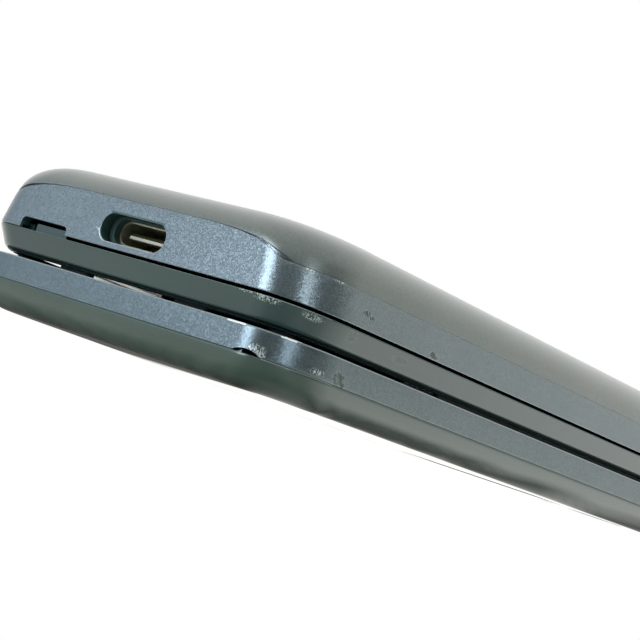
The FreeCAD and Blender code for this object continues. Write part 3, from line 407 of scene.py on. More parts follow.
def crownInset(z):
    # how far the battery cover's side surface lies in from the full width at a height
    tangentZ, tangentInset = crownTangent()
    if z < tangentZ:
        return tangentInset - (tangentZ - z) * math.tan(math.radians(crown["draft"]))
    rise = min(z - crown["centreZ"], crown["radius"])
    return crown["sideLine"] - math.sqrt(max(crown["radius"] ** 2 - rise ** 2, 0.0))


def crownOutline(inset, back, closed=True):
    return sharedOutline(inset, inset - (crown["sideLine"] - crown["endLine"]), back, coverPlan, closed)


def seamZ(x):
    share = min(abs(x) / rear["seamHalfSpan"], 1.0)
    return phone["beltZ"] + rear["seamHeight"] + rear["seamRise"] * (1 - share ** 6)


def ringPoint(rings, index, outlineAt, values, z):
    # one point of an outline that is worked out once for each rounded set of values
    key = tuple(round(float(value), 4) for value in values)
    if key not in rings:
        rings[key] = outlineAt(*values)
    return (*rings[key][index], float(z))


def rearSkin():
    # the wall's outer skin, from the belt to the parting line, rounded at both edges
    low, belt, seam = phone["caseZ"], rear["beltRound"], rear["seamRound"]
    plan = rearOutline(0, low)
    tops = np.array([seamZ(x) for x, y in plan])
    # at the far corner the wall comes down and closes the groove
    closeStart = rear["closeStart"]
    lows = np.array([low - rear["closing"] * between(-x, closeStart, closeStart + rear["closeRun"])
                     for x, y in plan])
    turns = [(1 - math.sin(a), 1 - math.cos(a)) for a in anglesBetween(0, 90, rear["roundSteps"])]
    section = [(belt * early, 0.0, belt * late) for early, late in turns]
    section += [(0.0, share, 0.0) for share in np.linspace(0, 1, rear["wallRows"])[1:-1]]
    section += [(seam * late, 1.0, -seam * early) for early, late in turns]
    section += [(rear["skin"], 1.0, 0.0), (rear["skin"], 0.0, 0.0)]
    rings = {}
    columns = []
    for depth, share, lift in section:
        heights = lows + (tops - lows) * share + lift
        columns.append([ringPoint(rings, i, rearOutline, (depth, z), z) for i, z in enumerate(heights)])
    grid = np.stack([np.array(column) for column in columns], axis=1)
    grid = pressedRings(grid, lambda z: crownOutline(crownInset(z), openEnd), rear["pressFrom"])
    return sweptShape("rearSkin", grid)


def slopeHeight(y):
    # the height of the hood at a station: flat, then one arc through three points down to the hinge barrel
    points = [(phone["hingeY"] - rear["slopeStart"], phone["topZ"])]
    for radius, angle in ((rear["midRadius"], rear["midAngle"]), (rear["endRadius"], rear["endAngle"])):
        a = math.radians(angle)
        points.append((phone["hingeY"] + radius * math.cos(a), phone["hingeZ"] + radius * math.sin(a)))
    (ay, az), (by, bz), (cy, cz) = points
    if y <= ay:
        return phone["topZ"]
    sa, sb, sc = (u ** 2 + v ** 2 for u, v in points)
    d = 2 * (ay * (bz - cz) + by * (cz - az) + cy * (az - bz))
    uy = (sa * (bz - cz) + sb * (cz - az) + sc * (az - bz)) / d
    uz = (sa * (cy - by) + sb * (ay - cy) + sc * (by - ay)) / d
    return uz + math.sqrt(max((ay - uy) ** 2 + (az - uz) ** 2 - (y - uy) ** 2, 0.0))


def crossSection(extra=0.0):
    # the section across the phone, from the belt up one side, over the top and down the other
    wallSteps, bendSteps, crownSteps, topSteps = crown["sectionSteps"]
    half = [(phone["halfWidth"] - rear["sideDraft"] * (z - phone["beltZ"]) - extra, z)
            for z in np.linspace(phone["caseZ"], crown["wallTop"], wallSteps)]
    half += [(phone["halfWidth"] - crownInset(z) - extra, z)
             for z in np.linspace(crown["bendFrom"], crown["bendTo"], bendSteps)]
    radius = crown["radius"] - extra
    centreX = phone["halfWidth"] - crown["sideLine"]
    half += [(centreX + radius * math.cos(a), crown["centreZ"] + radius * math.sin(a))
             for a in anglesBetween(crown["draft"], 90, crownSteps)]
    half += [(x, phone["topZ"] - extra) for x in np.linspace(half[-1][0], 0, topSteps)[1:]]
    half = np.array(half)
    return np.concatenate([half, half[::-1][1:] * (-1, 1)])


def hoodGrid(extra, stations):
    # the cross section at each station, drawn down softly to the height of the slope
    centre = np.array((0.0, phone["caseZ"]))
    grid = []
    for y in stations:
        row = []
        for p in crossSection(extra):
            ray = p - centre
            share = 1.0
            wanted = (slopeHeight(y) - extra - phone["caseZ"]) / max(ray[1], 1e-6)
            if wanted < rear["roofReach"]:
                share = min(((1 + wanted) - math.sqrt((1 - wanted) ** 2 + rear["roofBlend"] ** 2)) / 2, 1.0)
            q = centre + ray * share
            row.append((q[0], y, q[1]))
        grid.append(row)
    return np.array(grid)


def hoodSkin():
    # the hood over the loudspeaker and the hinge, closed below by the barrel's cradle
    lip = phone["hingeY"] + rear["endRadius"] * math.cos(math.radians(rear["endAngle"]))
    spans = rear["hoodStations"] + ((rear["lipStart"], lip, rear["lipSteps"]),)
    stations = [y for span in spans for y in np.linspace(*span)]
    sides = [hoodGrid(0.0, stations), hoodGrid(rear["skin"], stations)]
    for i, y in enumerate(stations):
        reach = rear["cradle"] ** 2 - (y - phone["hingeY"]) ** 2
        floor = max(phone["caseZ"], phone["hingeZ"] + math.sqrt(reach)) if reach > 0 else phone["caseZ"]
        for side in sides:
            side[i, :, 2] = np.maximum(side[i, :, 2], floor)
    return sweptShape("hoodSkin", np.concatenate([sides[0], sides[1][:, ::-1]], axis=1))


def bayWall():
    # the wall under the cover's hinge end, seen with the cover off
    section = [(x, z) for x, z in crossSection(rear["bayWallSink"]) if z > rear["bayWallFoot"]]
    return extruded("bayWall", section, phone["coverEnd"], phone["coverEnd"] + rear["bayWall"], 1)


port = {"halfWidth": 5.13, "halfHeight": 1.60, "mouthRound": 0.16, "mouthY": phone["freeY"] + 0.09,
        "depth": 3.0, "strapX": (-17.9, -10.1), "strapZ": (8.9, 10.86), "strapCorner": 0.60,
        "strapDepth": 1.5, "keyY": (14.0, 24.5), "keyZ": 11.2, "keyHole": (8.3, 1.8), "keyCorner": 0.5,
        "keyCut": (-27.0, -23.5), "ahead": 1.0}
speaker = {"count": 6, "pitch": 1.8, "width": 0.7, "length": 4.8, "y": 37.1, "cut": (16.9, 19.0)}
hoodRoom = [(-40, 29.99), (40, 29.99), (40, 60), (-40, 60)]
# Where the rear case shows bare resin, and where the port's rim is drawn lighter: a painted highlight on
# paint rubbed smooth
resin = {"bay": ((-22.5, 22.5), (-52.0, 30.0), (0.0, 17.3)),
         "strap": ((-18.0, -10.0), (phone["freeY"] + 0.25, -53.0), (0.0, 11.0)),
         "portY": (port["mouthY"] + 0.12, -50.0), "portReach": 0.2,
         "rimEnd": port["mouthY"] + 0.14, "rimReach": 0.145, "rimTurn": (-0.95, -0.15)}


def stadiumBar(halfWidth, halfHeight, stations):
    # a bar along y with a stadium section; stations are (y, growth)
    rows = []
    for y, grow in stations:
        a, b = halfWidth + grow, halfHeight + grow
        rows.append([(centre + b * math.cos(t), y, phone["portZ"] + b * math.sin(t))
                     for centre, start in ((a - b, -90), (b - a, 90))
                     for t in anglesBetween(start, start + 180, 16)])
    return sweptShape("stadiumBar", rows)


def portTool():
    # the port's opening, whose mouth flares in a quarter round
    start, radius = port["mouthY"], port["mouthRound"]
    stations = [(start - port["ahead"], radius)]
    stations += [(start + radius * (1 - math.cos(a)), radius * (1 - math.sin(a)))
                 for a in anglesBetween(0, 90, 5)]
    return stadiumBar(port["halfWidth"], port["halfHeight"], stations + [(start + port["depth"], 0.0)])


def strapTool():
    return roundedBar("strapTool", port["strapX"], port["strapZ"], port["strapCorner"],
                      (phone["freeY"] - port["ahead"], phone["freeY"] + port["strapDepth"]), 1)


def outsideRim(c):
    # how far a point of the free end lies outside the port's rim
    a, b = port["halfWidth"], port["halfHeight"]
    return math.hypot(max(abs(c.x) - (a - b), 0.0), c.z - phone["portZ"]) - b


def unpainted(c, n):
    # the resin inside the openings and the battery bay
    start, end = resin["portY"]
    inPort = start < c.y < end and outsideRim(c) < resin["portReach"]
    return inPort or within(c, *resin["bay"]) or within(c, *resin["strap"])


def rubbedRim(c, n):
    low, high = resin["rimTurn"]
    return c.y < resin["rimEnd"] and low < n.y < high and outsideRim(c) < resin["rimReach"]


print("rear case")
core = coreOf("rear_case", rearOutline, rear["skin"], rear["coreCut"])
core = cutWith(core, extruded("hoodRoom", hoodRoom, *rear["hoodCut"]))
core = cutWith(core, strapTool())
skin = cutWith(cutWith(rearSkin(), portTool()), strapTool())
for y in port["keyY"]:
    across, tall = port["keyHole"]
    skin = cutWith(skin, roundedBar("keyTool", (y - across / 2, y + across / 2),
                                    (port["keyZ"] - tall / 2, port["keyZ"] + tall / 2), port["keyCorner"],
                                    port["keyCut"], 0))
hood = hoodSkin()
for i in range(speaker["count"]):
    x = (i - (speaker["count"] - 1) / 2) * speaker["pitch"]
    ring = roundedRectangle(x, speaker["y"], speaker["width"], speaker["length"], speaker["width"] / 2 - 0.01)
    hood = cutWith(hood, extruded("slotTool", ring, *speaker["cut"]))
rearShell = joined("rearShell", [smoothed(skin), smoothed(hood), smoothed(bayWall()), smoothed(core)])
markFaces(rearShell, 1, unpainted)
markFaces(rearShell, 2, rubbedRim)
print("rear case", len(rearShell.data.polygons))


# Battery cover: the rounded wall and crown above the parting line, over the free end and both sides

cover = {"wall": 1.1, "rimRound": 0.04, "spineEnd": -36.0, "nailWidth": 14.0, "nailRadius": 6.0,
         "nailSink": 0.65, "nailSetback": 1.1, "nailSteps": 96, "rows": 30, "crowding": 1.15, "flatRows": 7}


def crownPlace(low, share):
    # inset and height at a share of the way from the parting line to the flat, even along the arc
    draft = math.radians(crown["draft"])
    tangentZ = crownTangent()[0]
    straight = max(tangentZ - low, 0.0) / math.cos(draft)
    start = draft if low < tangentZ else math.asin((low - crown["centreZ"]) / crown["radius"])
    run = share * (straight + crown["radius"] * (math.pi / 2 - start))
    if run < straight:
        z = low + run * math.cos(draft)
        return crownInset(z), z
    a = start + (run - straight) / crown["radius"]
    return crown["sideLine"] - crown["radius"] * math.cos(a), crown["centreZ"] + crown["radius"] * math.sin(a)


def coverSkin():
    back = phone["coverEnd"] - rear["seamGap"]

    def openOutline(inset):
        return crownOutline(inset, back, closed=False)

    lows = [seamZ(x) + rear["seamGap"] for x, y in openOutline(1.0)]
    rings = {}
    columns = []
    for share in np.linspace(0, 1, cover["rows"]) ** cover["crowding"]:
        places = [crownPlace(low, share) for low in lows]
        columns.append(np.array([ringPoint(rings, i, openOutline, (inset,), z)
                                 for i, (inset, z) in enumerate(places)]))
    grid = pressedRings(np.stack(columns, axis=1), lambda z: rearOutline(0.0, z, True, openEnd), 0.0)
    edge = grid[:, -1]
    spine = np.array([(0.0, max(y, cover["spineEnd"]), phone["topZ"]) for x, y, z in edge])
    flat = [edge + (spine - edge) * share for share in np.linspace(0, 1, cover["flatRows"])[1:]]
    grid = np.concatenate([grid, np.stack(flat, axis=1)], axis=1)
    rows, cols, _ = grid.shape
    faces = [(i * cols + k, (i + 1) * cols + k, (i + 1) * cols + k + 1, i * cols + k + 1)
             for i in range(rows - 1) for k in range(cols - 1)]

    def change(work):
        welded(work, 0.003)
        bmesh.ops.dissolve_degenerate(work, edges=work.edges, dist=0.001 * mm)
        bmesh.ops.recalc_face_normals(work, faces=work.faces)
        if max(work.faces, key=lambda f: f.calc_center_median().z).normal.z < 0:
            bmesh.ops.reverse_faces(work, faces=work.faces)

    item = reworked(shapeFrom("coverSkin", grid.reshape(-1, 3), faces), change)
    return modified(item, "SOLIDIFY", thickness=cover["wall"] * mm, offset=-1, use_even_offset=True,
                    use_quality_normals=True)


def nailTool():
    # the shallow hollow for a fingernail at the cover's hinge end
    y = phone["coverEnd"] - cover["nailSetback"]
    z = phone["topZ"] - cover["nailSink"] + cover["nailRadius"]
    ring = [(y + cover["nailRadius"] * math.cos(t), z + cover["nailRadius"] * math.sin(t))
            for t in anglesBetween(0, 360, cover["nailSteps"])[:-1]]
    return extruded("nailTool", ring, -cover["nailWidth"] / 2, cover["nailWidth"] / 2, 0)


print("battery cover")
coverShell = smoothed(cutWith(roundedEdges(coverSkin(), cover["rimRound"]), nailTool()))
print("battery cover", len(coverShell.data.polygons))


# Front case: the keypad half's lower band, over the CAD plate with its key openings

front = {"lean": 1.0, "skin": 0.62, "lip": 0.30, "lowRound": 0.66, "beltRound": 0.17, "skinEnd": 44.0,
         "stripDepth": 0.45, "ledgeX": (-15.5, -10.15), "ledgeZ": (9.35, 10.40), "ledgeRound": 0.14,
         "ledgeSetback": 0.45, "ledgeDepth": 1.0, "overlap": 0.1, "faceHalf": 24.4, "rubbedAndLit": 0.12}
skinEdge = {"steps": 4, "rows": 8, "turn": (0.3, 0.97), "before": 1.0}     # rounded edges of the thin skins


def frontOutline(depth, z):
    inset = front["lean"] * (phone["beltZ"] - z) / (phone["beltZ"] - phone["frontZ"]) + depth
    return sharedOutline(inset, inset, front["skinEnd"], bodyPlan, False)


def stripOutline(depth, z):
    # the near-black strip that paints the shade in the groove at the belt line stands straight up
    return sharedOutline(depth, depth, front["skinEnd"], bodyPlan, False)


def bandLoop(low, high, skin, lowRound, highRound):
    # a thin wall's section: rounded at its two outer edges, with rows between them for a fine surface
    turns = [(1 - math.sin(a), 1 - math.cos(a)) for a in anglesBetween(0, 90, skinEdge["steps"])]
    loop = [(lowRound * early, low + lowRound * late) for early, late in turns]
    loop += [(0.0, z) for z in np.linspace(low + lowRound, high - highRound, skinEdge["rows"])[1:-1]]
    loop += [(highRound * late, high - highRound * early) for early, late in turns]
    return loop + [(skin, high), (skin, low)]


def topEdge(above, skinEnd):
    # a test for the rounded upper edge of a skin
    low, high = skinEdge["turn"]
    return lambda c, n: c.z > above and low < n.z < high and c.y < skinEnd - skinEdge["before"]


print("front case")
section = bandLoop(phone["frontZ"] - front["lip"], phone["beltZ"], front["skin"], front["lowRound"],
                   front["beltRound"])
skin = band("frontSkin", section, frontOutline)
beltShadeStrip = envelope("beltShadeStrip", stripOutline, (front["stripDepth"], front["skin"]),
                     (phone["beltZ"] - front["overlap"], phone["caseZ"] + front["overlap"]))
beltShadeStrip = cutWith(beltShadeStrip, strapTool())
core = coreOf("front_case", frontOutline, front["skin"],
              (phone["frontZ"] - 1, phone["beltZ"] + front["overlap"]))
# the ledge that fills most of the strap slot's height, over the CAD's own
ledgeY = phone["freeY"] + front["ledgeSetback"]
ledge = roundedBar("strapLedge", front["ledgeX"], front["ledgeZ"], front["ledgeRound"],
                   (ledgeY, ledgeY + front["ledgeDepth"]), 1)
frontShell = joined("frontShell", [smoothed(skin), smoothed(core), smoothed(ledge)])
# the keypad's face is smoother, and the upper edge is drawn lighter: a painted edge highlight on rubbed resin
half, level = front["faceHalf"], phone["frontZ"]
markFaces(frontShell, 1, lambda c, n: abs(c.x) < half and abs(c.z - level) < 0.05 and n.z < -0.5)
markFaces(frontShell, 2, topEdge(phone["beltZ"] - front["rubbedAndLit"], front["skinEnd"]))


# Lid frame: the band round the lid, over the CAD chassis and hinge barrel

lid = {"step": 0.17, "lean": 0.11, "skin": 0.62, "lowRound": 0.10, "topRound": 0.22, "skinEnd": 43.0,
       "notchCentre": 20.8, "notchTurn": 21.0, "notchStart": 3.0, "notchReach": 4.2, "notchSetback": 0.35,
       "notchWidth": 3.3, "notchDepth": 0.48, "notchSpare": 0.3, "notchBelow": 0.5, "notchSteps": 32,
       "notchLip": 0.7, "notchInner": 1.6, "rubbedAndLit": 0.16, "bright": 0.24, "brightTurn": (0.05, 0.97),
       "brightEnd": -50.0, "brightEdge": ((17.8, 19.7), (23.2, 24.1))}


def lidOutline(depth, z):
    inset = lid["step"] + lid["lean"] * (z - phone["frameZ"]) / (phone["lidTop"] - phone["frameZ"]) + depth
    return sharedOutline(inset, inset, lid["skinEnd"], bodyPlan, False)


def notchTool():
    # the finger notch: a low arch carried in from the free corner, square to it
    turn = math.radians(lid["notchTurn"])
    radius = (lid["notchWidth"] ** 2 / 4 + lid["notchDepth"] ** 2) / (2 * lid["notchDepth"])
    half = math.asin(min(1.0, (lid["notchWidth"] / 2 + lid["notchSpare"]) / radius))
    arc = [(radius * math.sin(t), phone["frameZ"] + lid["notchDepth"] - radius + radius * math.cos(t))
           for t in np.linspace(-half, half, lid["notchSteps"] + 1)]
    below = phone["frameZ"] - lid["notchBelow"]
    arc += [(arc[-1][0], below), (arc[0][0], below)]
    x, y = lid["notchCentre"], phone["freeY"] + lid["notchSetback"]
    return sweptShape("notchTool", [[(x + u * math.cos(turn) - reach * math.sin(turn),
                                      y + u * math.sin(turn) + reach * math.cos(turn), z) for u, z in arc]
                                    for reach in (-lid["notchStart"], lid["notchReach"] - lid["notchStart"])])


def insideNotch(c, n):
    turn = math.radians(lid["notchTurn"])
    dx = c.x - lid["notchCentre"]
    dy = c.y - phone["freeY"] - lid["notchSetback"]
    across = dx * math.cos(turn) + dy * math.sin(turn)
    inward = dy * math.cos(turn) - dx * math.sin(turn)
    outer = n.z > -0.3 and inward < lid["notchLip"]
    near = abs(across) < lid["notchWidth"] / 2 and 0.0 < inward < lid["notchInner"]
    return near and c.z < phone["frameZ"] + lid["notchBelow"] and not outer


# near-white strokes on the lid's top edge where the lamps reflect: painted highlight
def rubbedBright(c, n):
    flat, upright = lid["brightTurn"]
    turned = c.z > phone["lidTop"] - lid["bright"] and flat < n.z < upright
    return turned and c.y < lid["brightEnd"] and any(low < c.x < high for low, high in lid["brightEdge"])


print("lid frame")
section = bandLoop(phone["frameZ"], phone["lidTop"], lid["skin"], lid["lowRound"], lid["topRound"])
skin = cutWith(band("lidSkin", section, lidOutline), notchTool())
core = coreOf("lid_frame", lidOutline, lid["skin"], (phone["frameZ"] - 0.02, phone["lidTop"] + 1))
lidShell = joined("lidShell", [smoothed(skin), smoothed(core)])
# the notch's inside is drawn near black without shine: painted shade in the recess
markFaces(lidShell, 1, insideNotch)
# the lid's top edge is drawn lighter: a painted edge highlight on rubbed paint
markFaces(lidShell, 2, topEdge(phone["lidTop"] - lid["rubbedAndLit"], lid["skinEnd"]))
markFaces(lidShell, 3, rubbedBright)


# Soft strips beside the display, which the closed keypad half comes down on
cushion = {"x": 23.05, "width": 0.8, "front": -26.0, "back": 30.0, "height": 0.58, "round": 0.39,
           "edge": 0.15}
strips = []
for side in (1, -1):
    ring = roundedRectangle(side * cushion["x"], (cushion["front"] + cushion["back"]) / 2, cushion["width"],
                            cushion["back"] - cushion["front"], cushion["round"])
    strips.append(extruded("cushion", ring, phone["lidTop"], phone["lidTop"] + cushion["height"]))
cushions = smoothed(roundedEdges(joined("sideCushions", strips), cushion["edge"]))


# Outer panel of the lid: a shallow glossy dish

panel = {"step": 0.17, "round": 3.0, "power": 0.9, "depth": 3.36, "wall": 1.0, "steps": 26, "innerSteps": 8,
         "window": (0, 24.0, 24.0, 9.5, 1.0), "edgeRound": 0.10, "edgeShare": 0.3,
         "cut": (-1.0, 2.0), "rubbedAndLit": ((22.3, 30.0), (-55.3, -43.5), (3.25, 4.0)),
         "lenses": ((11.5, 38.75, 4.2), (3.0, 38.75, 1.3))}      # camera and flash: x, y and radius


def panelSide(inset, depth, steps):
    # inset and height along the dish's side, from its rim to its flat
    return [(inset + panel["round"] * (1 - max(math.cos(a), 0.0) ** panel["power"]),
             panel["depth"] - depth * math.sin(a) ** panel["power"]) for a in anglesBetween(0, 90, steps)]


def panelShape():
    section = panelSide(panel["step"], panel["depth"], panel["steps"])[::-1]
    inset, height = section.pop()
    edge = panel["edgeRound"]
    middle = edge * panel["edgeShare"]
    section += [(inset, height - edge), (inset + middle, height - middle), (inset + edge, height)]
    inner = panel["step"] + panel["wall"]
    section += [(inner, height)] + panelSide(inner, panel["depth"] - panel["wall"], panel["innerSteps"])
    rings = [[(x, y, z) for x, y in sharedOutline(inset, inset, phone["lidBack"] - inset, bodyPlan, True)]
             for inset, z in section]
    return sweptShape("panelShell", rings)


print("outer panel")
panelShell = cutWith(panelShape(), extruded("windowTool", roundedRectangle(*panel["window"]), *panel["cut"]))
for x, y, radius in panel["lenses"]:
    ring = roundedRectangle(x, y, 2 * radius, 2 * radius, radius - 0.001, 16)
    panelShell = cutWith(panelShell, extruded("lensTool", ring, *panel["cut"]))
panelShell = smoothed(panelShell)
# the lacquer is rubbed off the upper edge beside the near corner, and the flat is polished by use
markFaces(panelShell, 1, lambda c, n: within(c, *panel["rubbedAndLit"]) and 0.25 < n.z < 0.97)
markFaces(panelShell, 2, lambda c, n: c.z < 0.02 and n.z < -0.99)


# Finishes

# How marks of use look: grain, stroke and fold shape the noise, and each layer gives the two values of the
# worn field where it starts and is full, and its strength
wearing = {
    "softFrom": 0.25, "ragged": (0.36, 0.64), "slant": (0.5, 0.7, 0.0), "squeeze": (1.0, 1.0, 0.35),
    "spotGrain": 0.25, "lip": (0.14, 0.20, 0.30), "centre": (0.22, 0.34, 0.95),
    "scuffGrain": 0.75, "stroke": 0.045, "fold": 0.07, "bare": (0.24, 0.42, 0.85),
    "dulled": (0.42, 0.60, 0.55),
}


def wornField(tree, place, spots, grain, stroke=0.0):
    # how far a finish is worn: ovals made ragged by noise of a grain in mm; a stroke width turns the noise
    # into thin curved scratches
    whole = None
    for x, y, z, a, b, c, depth in spots:
        oval = addNode(tree, "ShaderNodeMapping", {
            "Vector": place, "Location": (-x / a, -y / b, -z / c),
            "Scale": (1 / (a * mm), 1 / (b * mm), 1 / (c * mm))})
        away = addNode(tree, "ShaderNodeVectorMath", {0: oval}, operation="LENGTH")
        soft = addNode(tree, "ShaderNodeMapRange", {
            "Value": (away, "Value"), "From Min": wearing["softFrom"], "To Min": depth, "To Max": 0.0})
        whole = addNode(tree, "ShaderNodeMath", {0: whole, 1: soft}, operation="MAXIMUM") if whole else soft
    slanted = addNode(tree, "ShaderNodeMapping", {
        "Vector": place, "Rotation": wearing["slant"], "Scale": wearing["squeeze"]})
    ragged = addNode(tree, "ShaderNodeTexNoise", {
        "Vector": slanted, "Scale": 1 / (grain * mm), "Detail": 4.0, "Roughness": 0.75})
    drift = {"Value": ragged, "From Min": wearing["ragged"][0], "From Max": wearing["ragged"][1]}
    if stroke > 0:
        folded = addNode(tree, "ShaderNodeMath", {0: ragged, 1: wearing["fold"]}, operation="PINGPONG")
        drift = {"Value": folded, "From Max": stroke, "To Min": 1.0, "To Max": 0.0}
    drift = addNode(tree, "ShaderNodeMapRange", drift)
    return addNode(tree, "ShaderNodeMath", {0: whole, 1: drift}, operation="MULTIPLY")


def wornColour(tree, place, colour, marks, tints):
    # the colour with the marks of use laid over it, and the field of its scratches
    layers = []
    scraped = None
    if "ringedSpots" in marks:
        # a thin pale lip round a dull centre
        ringed = wornField(tree, place, marks["ringedSpots"], wearing["spotGrain"])
        layers += [(ringed, wearing["lip"], tints[0]), (ringed, wearing["centre"], tints[1])]
    if "scuffs" in marks:
        # down to the pale resin
        scraped = wornField(tree, place, marks["scuffs"], wearing["scuffGrain"], wearing["stroke"])
        layers.append((scraped, wearing["bare"], tints[2]))
    for field, (low, high, strength), tint in layers:
        share = addNode(tree, "ShaderNodeMapRange", {
            "Value": field, "From Min": low, "From Max": high, "To Max": strength})
        laid = addNode(tree, "ShaderNodeMix", {0: share, 6: colour, 7: linear(tint)}, data_type="RGBA")
        colour = (laid, 2)
    return colour, scraped


def flakePaint(name, deep, bright, roughness, sparkle, coat=0.35, coatRoughness=0.22, haze=0.0, marks=()):
    # navy lacquer with fine metal flake on moulded resin: even grey, with sparkle where a lamp reflects
    material, tree, place = newMaterial(name)
    # real flake is about 0.05 mm; drawn 0.13 mm wide so that it shows
    cells = addNode(tree, "ShaderNodeTexVoronoi", {"Vector": place, "Scale": 7500.0})
    tone = addNode(tree, "ShaderNodeSeparateColor", {"Color": (cells, "Color")})
    cloud = addNode(tree, "ShaderNodeTexNoise", {"Vector": place, "Scale": 90.0, "Detail": 3.0})
    blend = addNode(tree, "ShaderNodeMath", {0: tone, 1: cloud}, operation="MULTIPLY")
    ramp = addNode(tree, "ShaderNodeValToRGB", {"Fac": blend}, ((0.0, deep), (0.8, bright)))
    colour, scraped = wornColour(tree, place, ramp, marks, ("#a3aeaa", "#2b3934", "#d5dedb"))
    rough = roughness
    if scraped:
        low, high, strength = wearing["dulled"]
        dull = addNode(tree, "ShaderNodeMapRange", {
            "Value": scraped, "From Min": low, "From Max": high, "To Max": strength})
        rough = addNode(tree, "ShaderNodeMath", {0: dull, 1: roughness}, operation="MAXIMUM")
    # each flake leans its own way
    lean = addNode(tree, "ShaderNodeVectorMath", {0: (cells, "Color"), 1: (0.5, 0.5, 0.5)},
                   operation="SUBTRACT")
    lean = addNode(tree, "ShaderNodeVectorMath", {0: lean, "Scale": sparkle}, operation="SCALE")
    facing = addNode(tree, "ShaderNodeNewGeometry")
    tilted = addNode(tree, "ShaderNodeVectorMath", {0: (facing, "Normal"), 1: lean}, operation="ADD")
    tilted = addNode(tree, "ShaderNodeVectorMath", {0: tilted}, operation="NORMALIZE")
    return finishMaterial(material, "ShaderNodeBsdfPrincipled", {
        "Base Color": colour, "Metallic": 0.65, "Roughness": rough, "Normal": tilted, "Coat Weight": coat,
        "Coat Roughness": coatRoughness, "Sheen Weight": haze, "Sheen Roughness": 0.5})


def smoothResin(name, dark, light, roughness, coat=0.0, coatRoughness=0.1, grainDepth=0.06, marks=(),
                shine=0.5, shineBelow=None):
    # moulded resin: nearly even in colour, with faint flow marks and a slightly uneven gloss
    material, tree, place = newMaterial(name)
    flow = addNode(tree, "ShaderNodeTexNoise", {"Vector": place, "Scale": 60.0, "Detail": 4.0})
    ramp = addNode(tree, "ShaderNodeValToRGB", {"Fac": flow}, ((0.35, dark), (0.65, light)))
    colour = wornColour(tree, place, ramp, marks, ("#75887f", "#17342d", "#b9c6bf"))[0]
    gloss = addNode(tree, "ShaderNodeMapRange", {
        "Value": flow, "To Min": roughness * 0.85, "To Max": roughness * 1.15})
    inputs = {"Base Color": colour, "Roughness": gloss, "IOR": 1.5, "Coat Weight": coat,
              "Coat Roughness": coatRoughness, "Specular IOR Level": shine}
    if shineBelow is not None:
        # the shine is taken off the faces that look down, which paints shade along the underside of the rim
        parts = addNode(tree, "ShaderNodeSeparateXYZ", {"Vector": (place[0], "Normal")})
        for socket, below in (("Specular IOR Level", shineBelow), ("Coat Weight", 0.0)):
            inputs[socket] = addNode(tree, "ShaderNodeMapRange", {
                "Value": (parts, "Z"), "From Min": -0.96, "From Max": -0.70, "To Min": below,
                "To Max": inputs[socket]})
    if grainDepth > 0:
        grain = addNode(tree, "ShaderNodeTexNoise", {
            "Vector": place, "Scale": 3500.0, "Detail": 2.0})
        inputs["Normal"] = addNode(tree, "ShaderNodeBump", {
            "Height": grain, "Strength": grainDepth, "Distance": 0.00002})
    return finishMaterial(material, "ShaderNodeBsdfPrincipled", inputs)


def platedMetal(name, dark, light, roughness, metallic=1.0, stretch=(1.0, 1.0, 1.0)):
    # drawn and plated sheet: bright, with faint rolling lines
    material, tree, place = newMaterial(name)
    drawn = addNode(tree, "ShaderNodeMapping", {"Vector": place, "Scale": stretch})
    lines = addNode(tree, "ShaderNodeTexNoise", {"Vector": drawn, "Scale": 900.0, "Detail": 3.0})
    ramp = addNode(tree, "ShaderNodeValToRGB", {"Fac": lines}, ((0.3, dark), (0.7, light)))
    gloss = addNode(tree, "ShaderNodeMapRange", {
        "Value": lines, "To Min": roughness * 0.7, "To Max": roughness * 1.4})
    return finishMaterial(material, "ShaderNodeBsdfPrincipled", {
        "Base Color": ramp, "Metallic": metallic, "Roughness": gloss})


def boardLaminate(name):
    # circuit board: dark green mask with slightly lighter tracks and gold pads
    material, tree, place = newMaterial(name)
    tracks = addNode(tree, "ShaderNodeTexBrick", {
        "Vector": place, "Scale": 350.0, "Mortar Size": 0.06,
        "Color1": linear("#10261c"), "Color2": linear("#15301f"), "Mortar": linear("#1d4030")})
    pads = addNode(tree, "ShaderNodeTexVoronoi", {"Vector": place, "Scale": 420.0})
    spot = addNode(tree, "ShaderNodeMath", {0: pads, 1: 0.22}, operation="LESS_THAN")
    colour = addNode(tree, "ShaderNodeMix", {0: spot, 6: tracks, 7: linear("#8a7440")}, data_type="RGBA")
    return finishMaterial(material, "ShaderNodeBsdfPrincipled", {
        "Base Color": (colour, 2), "Roughness": 0.45, "Metallic": spot})


def printedWindow(name, halfWidth, low, high):
    # hard-coated window: clear over the display, with black printed behind its border
    material, tree, place = newMaterial(name)
    parts = addNode(tree, "ShaderNodeSeparateXYZ", {"Vector": place})
    sides = []
    for part, middle, half in (("X", 0.0, halfWidth), ("Y", (low + high) / 2, (high - low) / 2)):
        away = addNode(tree, "ShaderNodeMath", {0: (parts, part), 1: middle * mm}, operation="SUBTRACT")
        away = addNode(tree, "ShaderNodeMath", {0: away}, operation="ABSOLUTE")
        sides.append(addNode(tree, "ShaderNodeMath", {0: away, 1: half * mm}, operation="LESS_THAN"))
    clear = addNode(tree, "ShaderNodeMath", {0: sides[0], 1: sides[1]}, operation="MULTIPLY")
    smear = addNode(tree, "ShaderNodeTexNoise", {"Vector": place, "Scale": 120.0, "Detail": 3.0})
    gloss = addNode(tree, "ShaderNodeMapRange", {"Value": smear, "To Min": 0.02, "To Max": 0.09})
    return finishMaterial(material, "ShaderNodeBsdfPrincipled", {
        "Base Color": linear("#0c0d0e"), "Roughness": gloss, "IOR": 1.5, "Transmission Weight": clear})


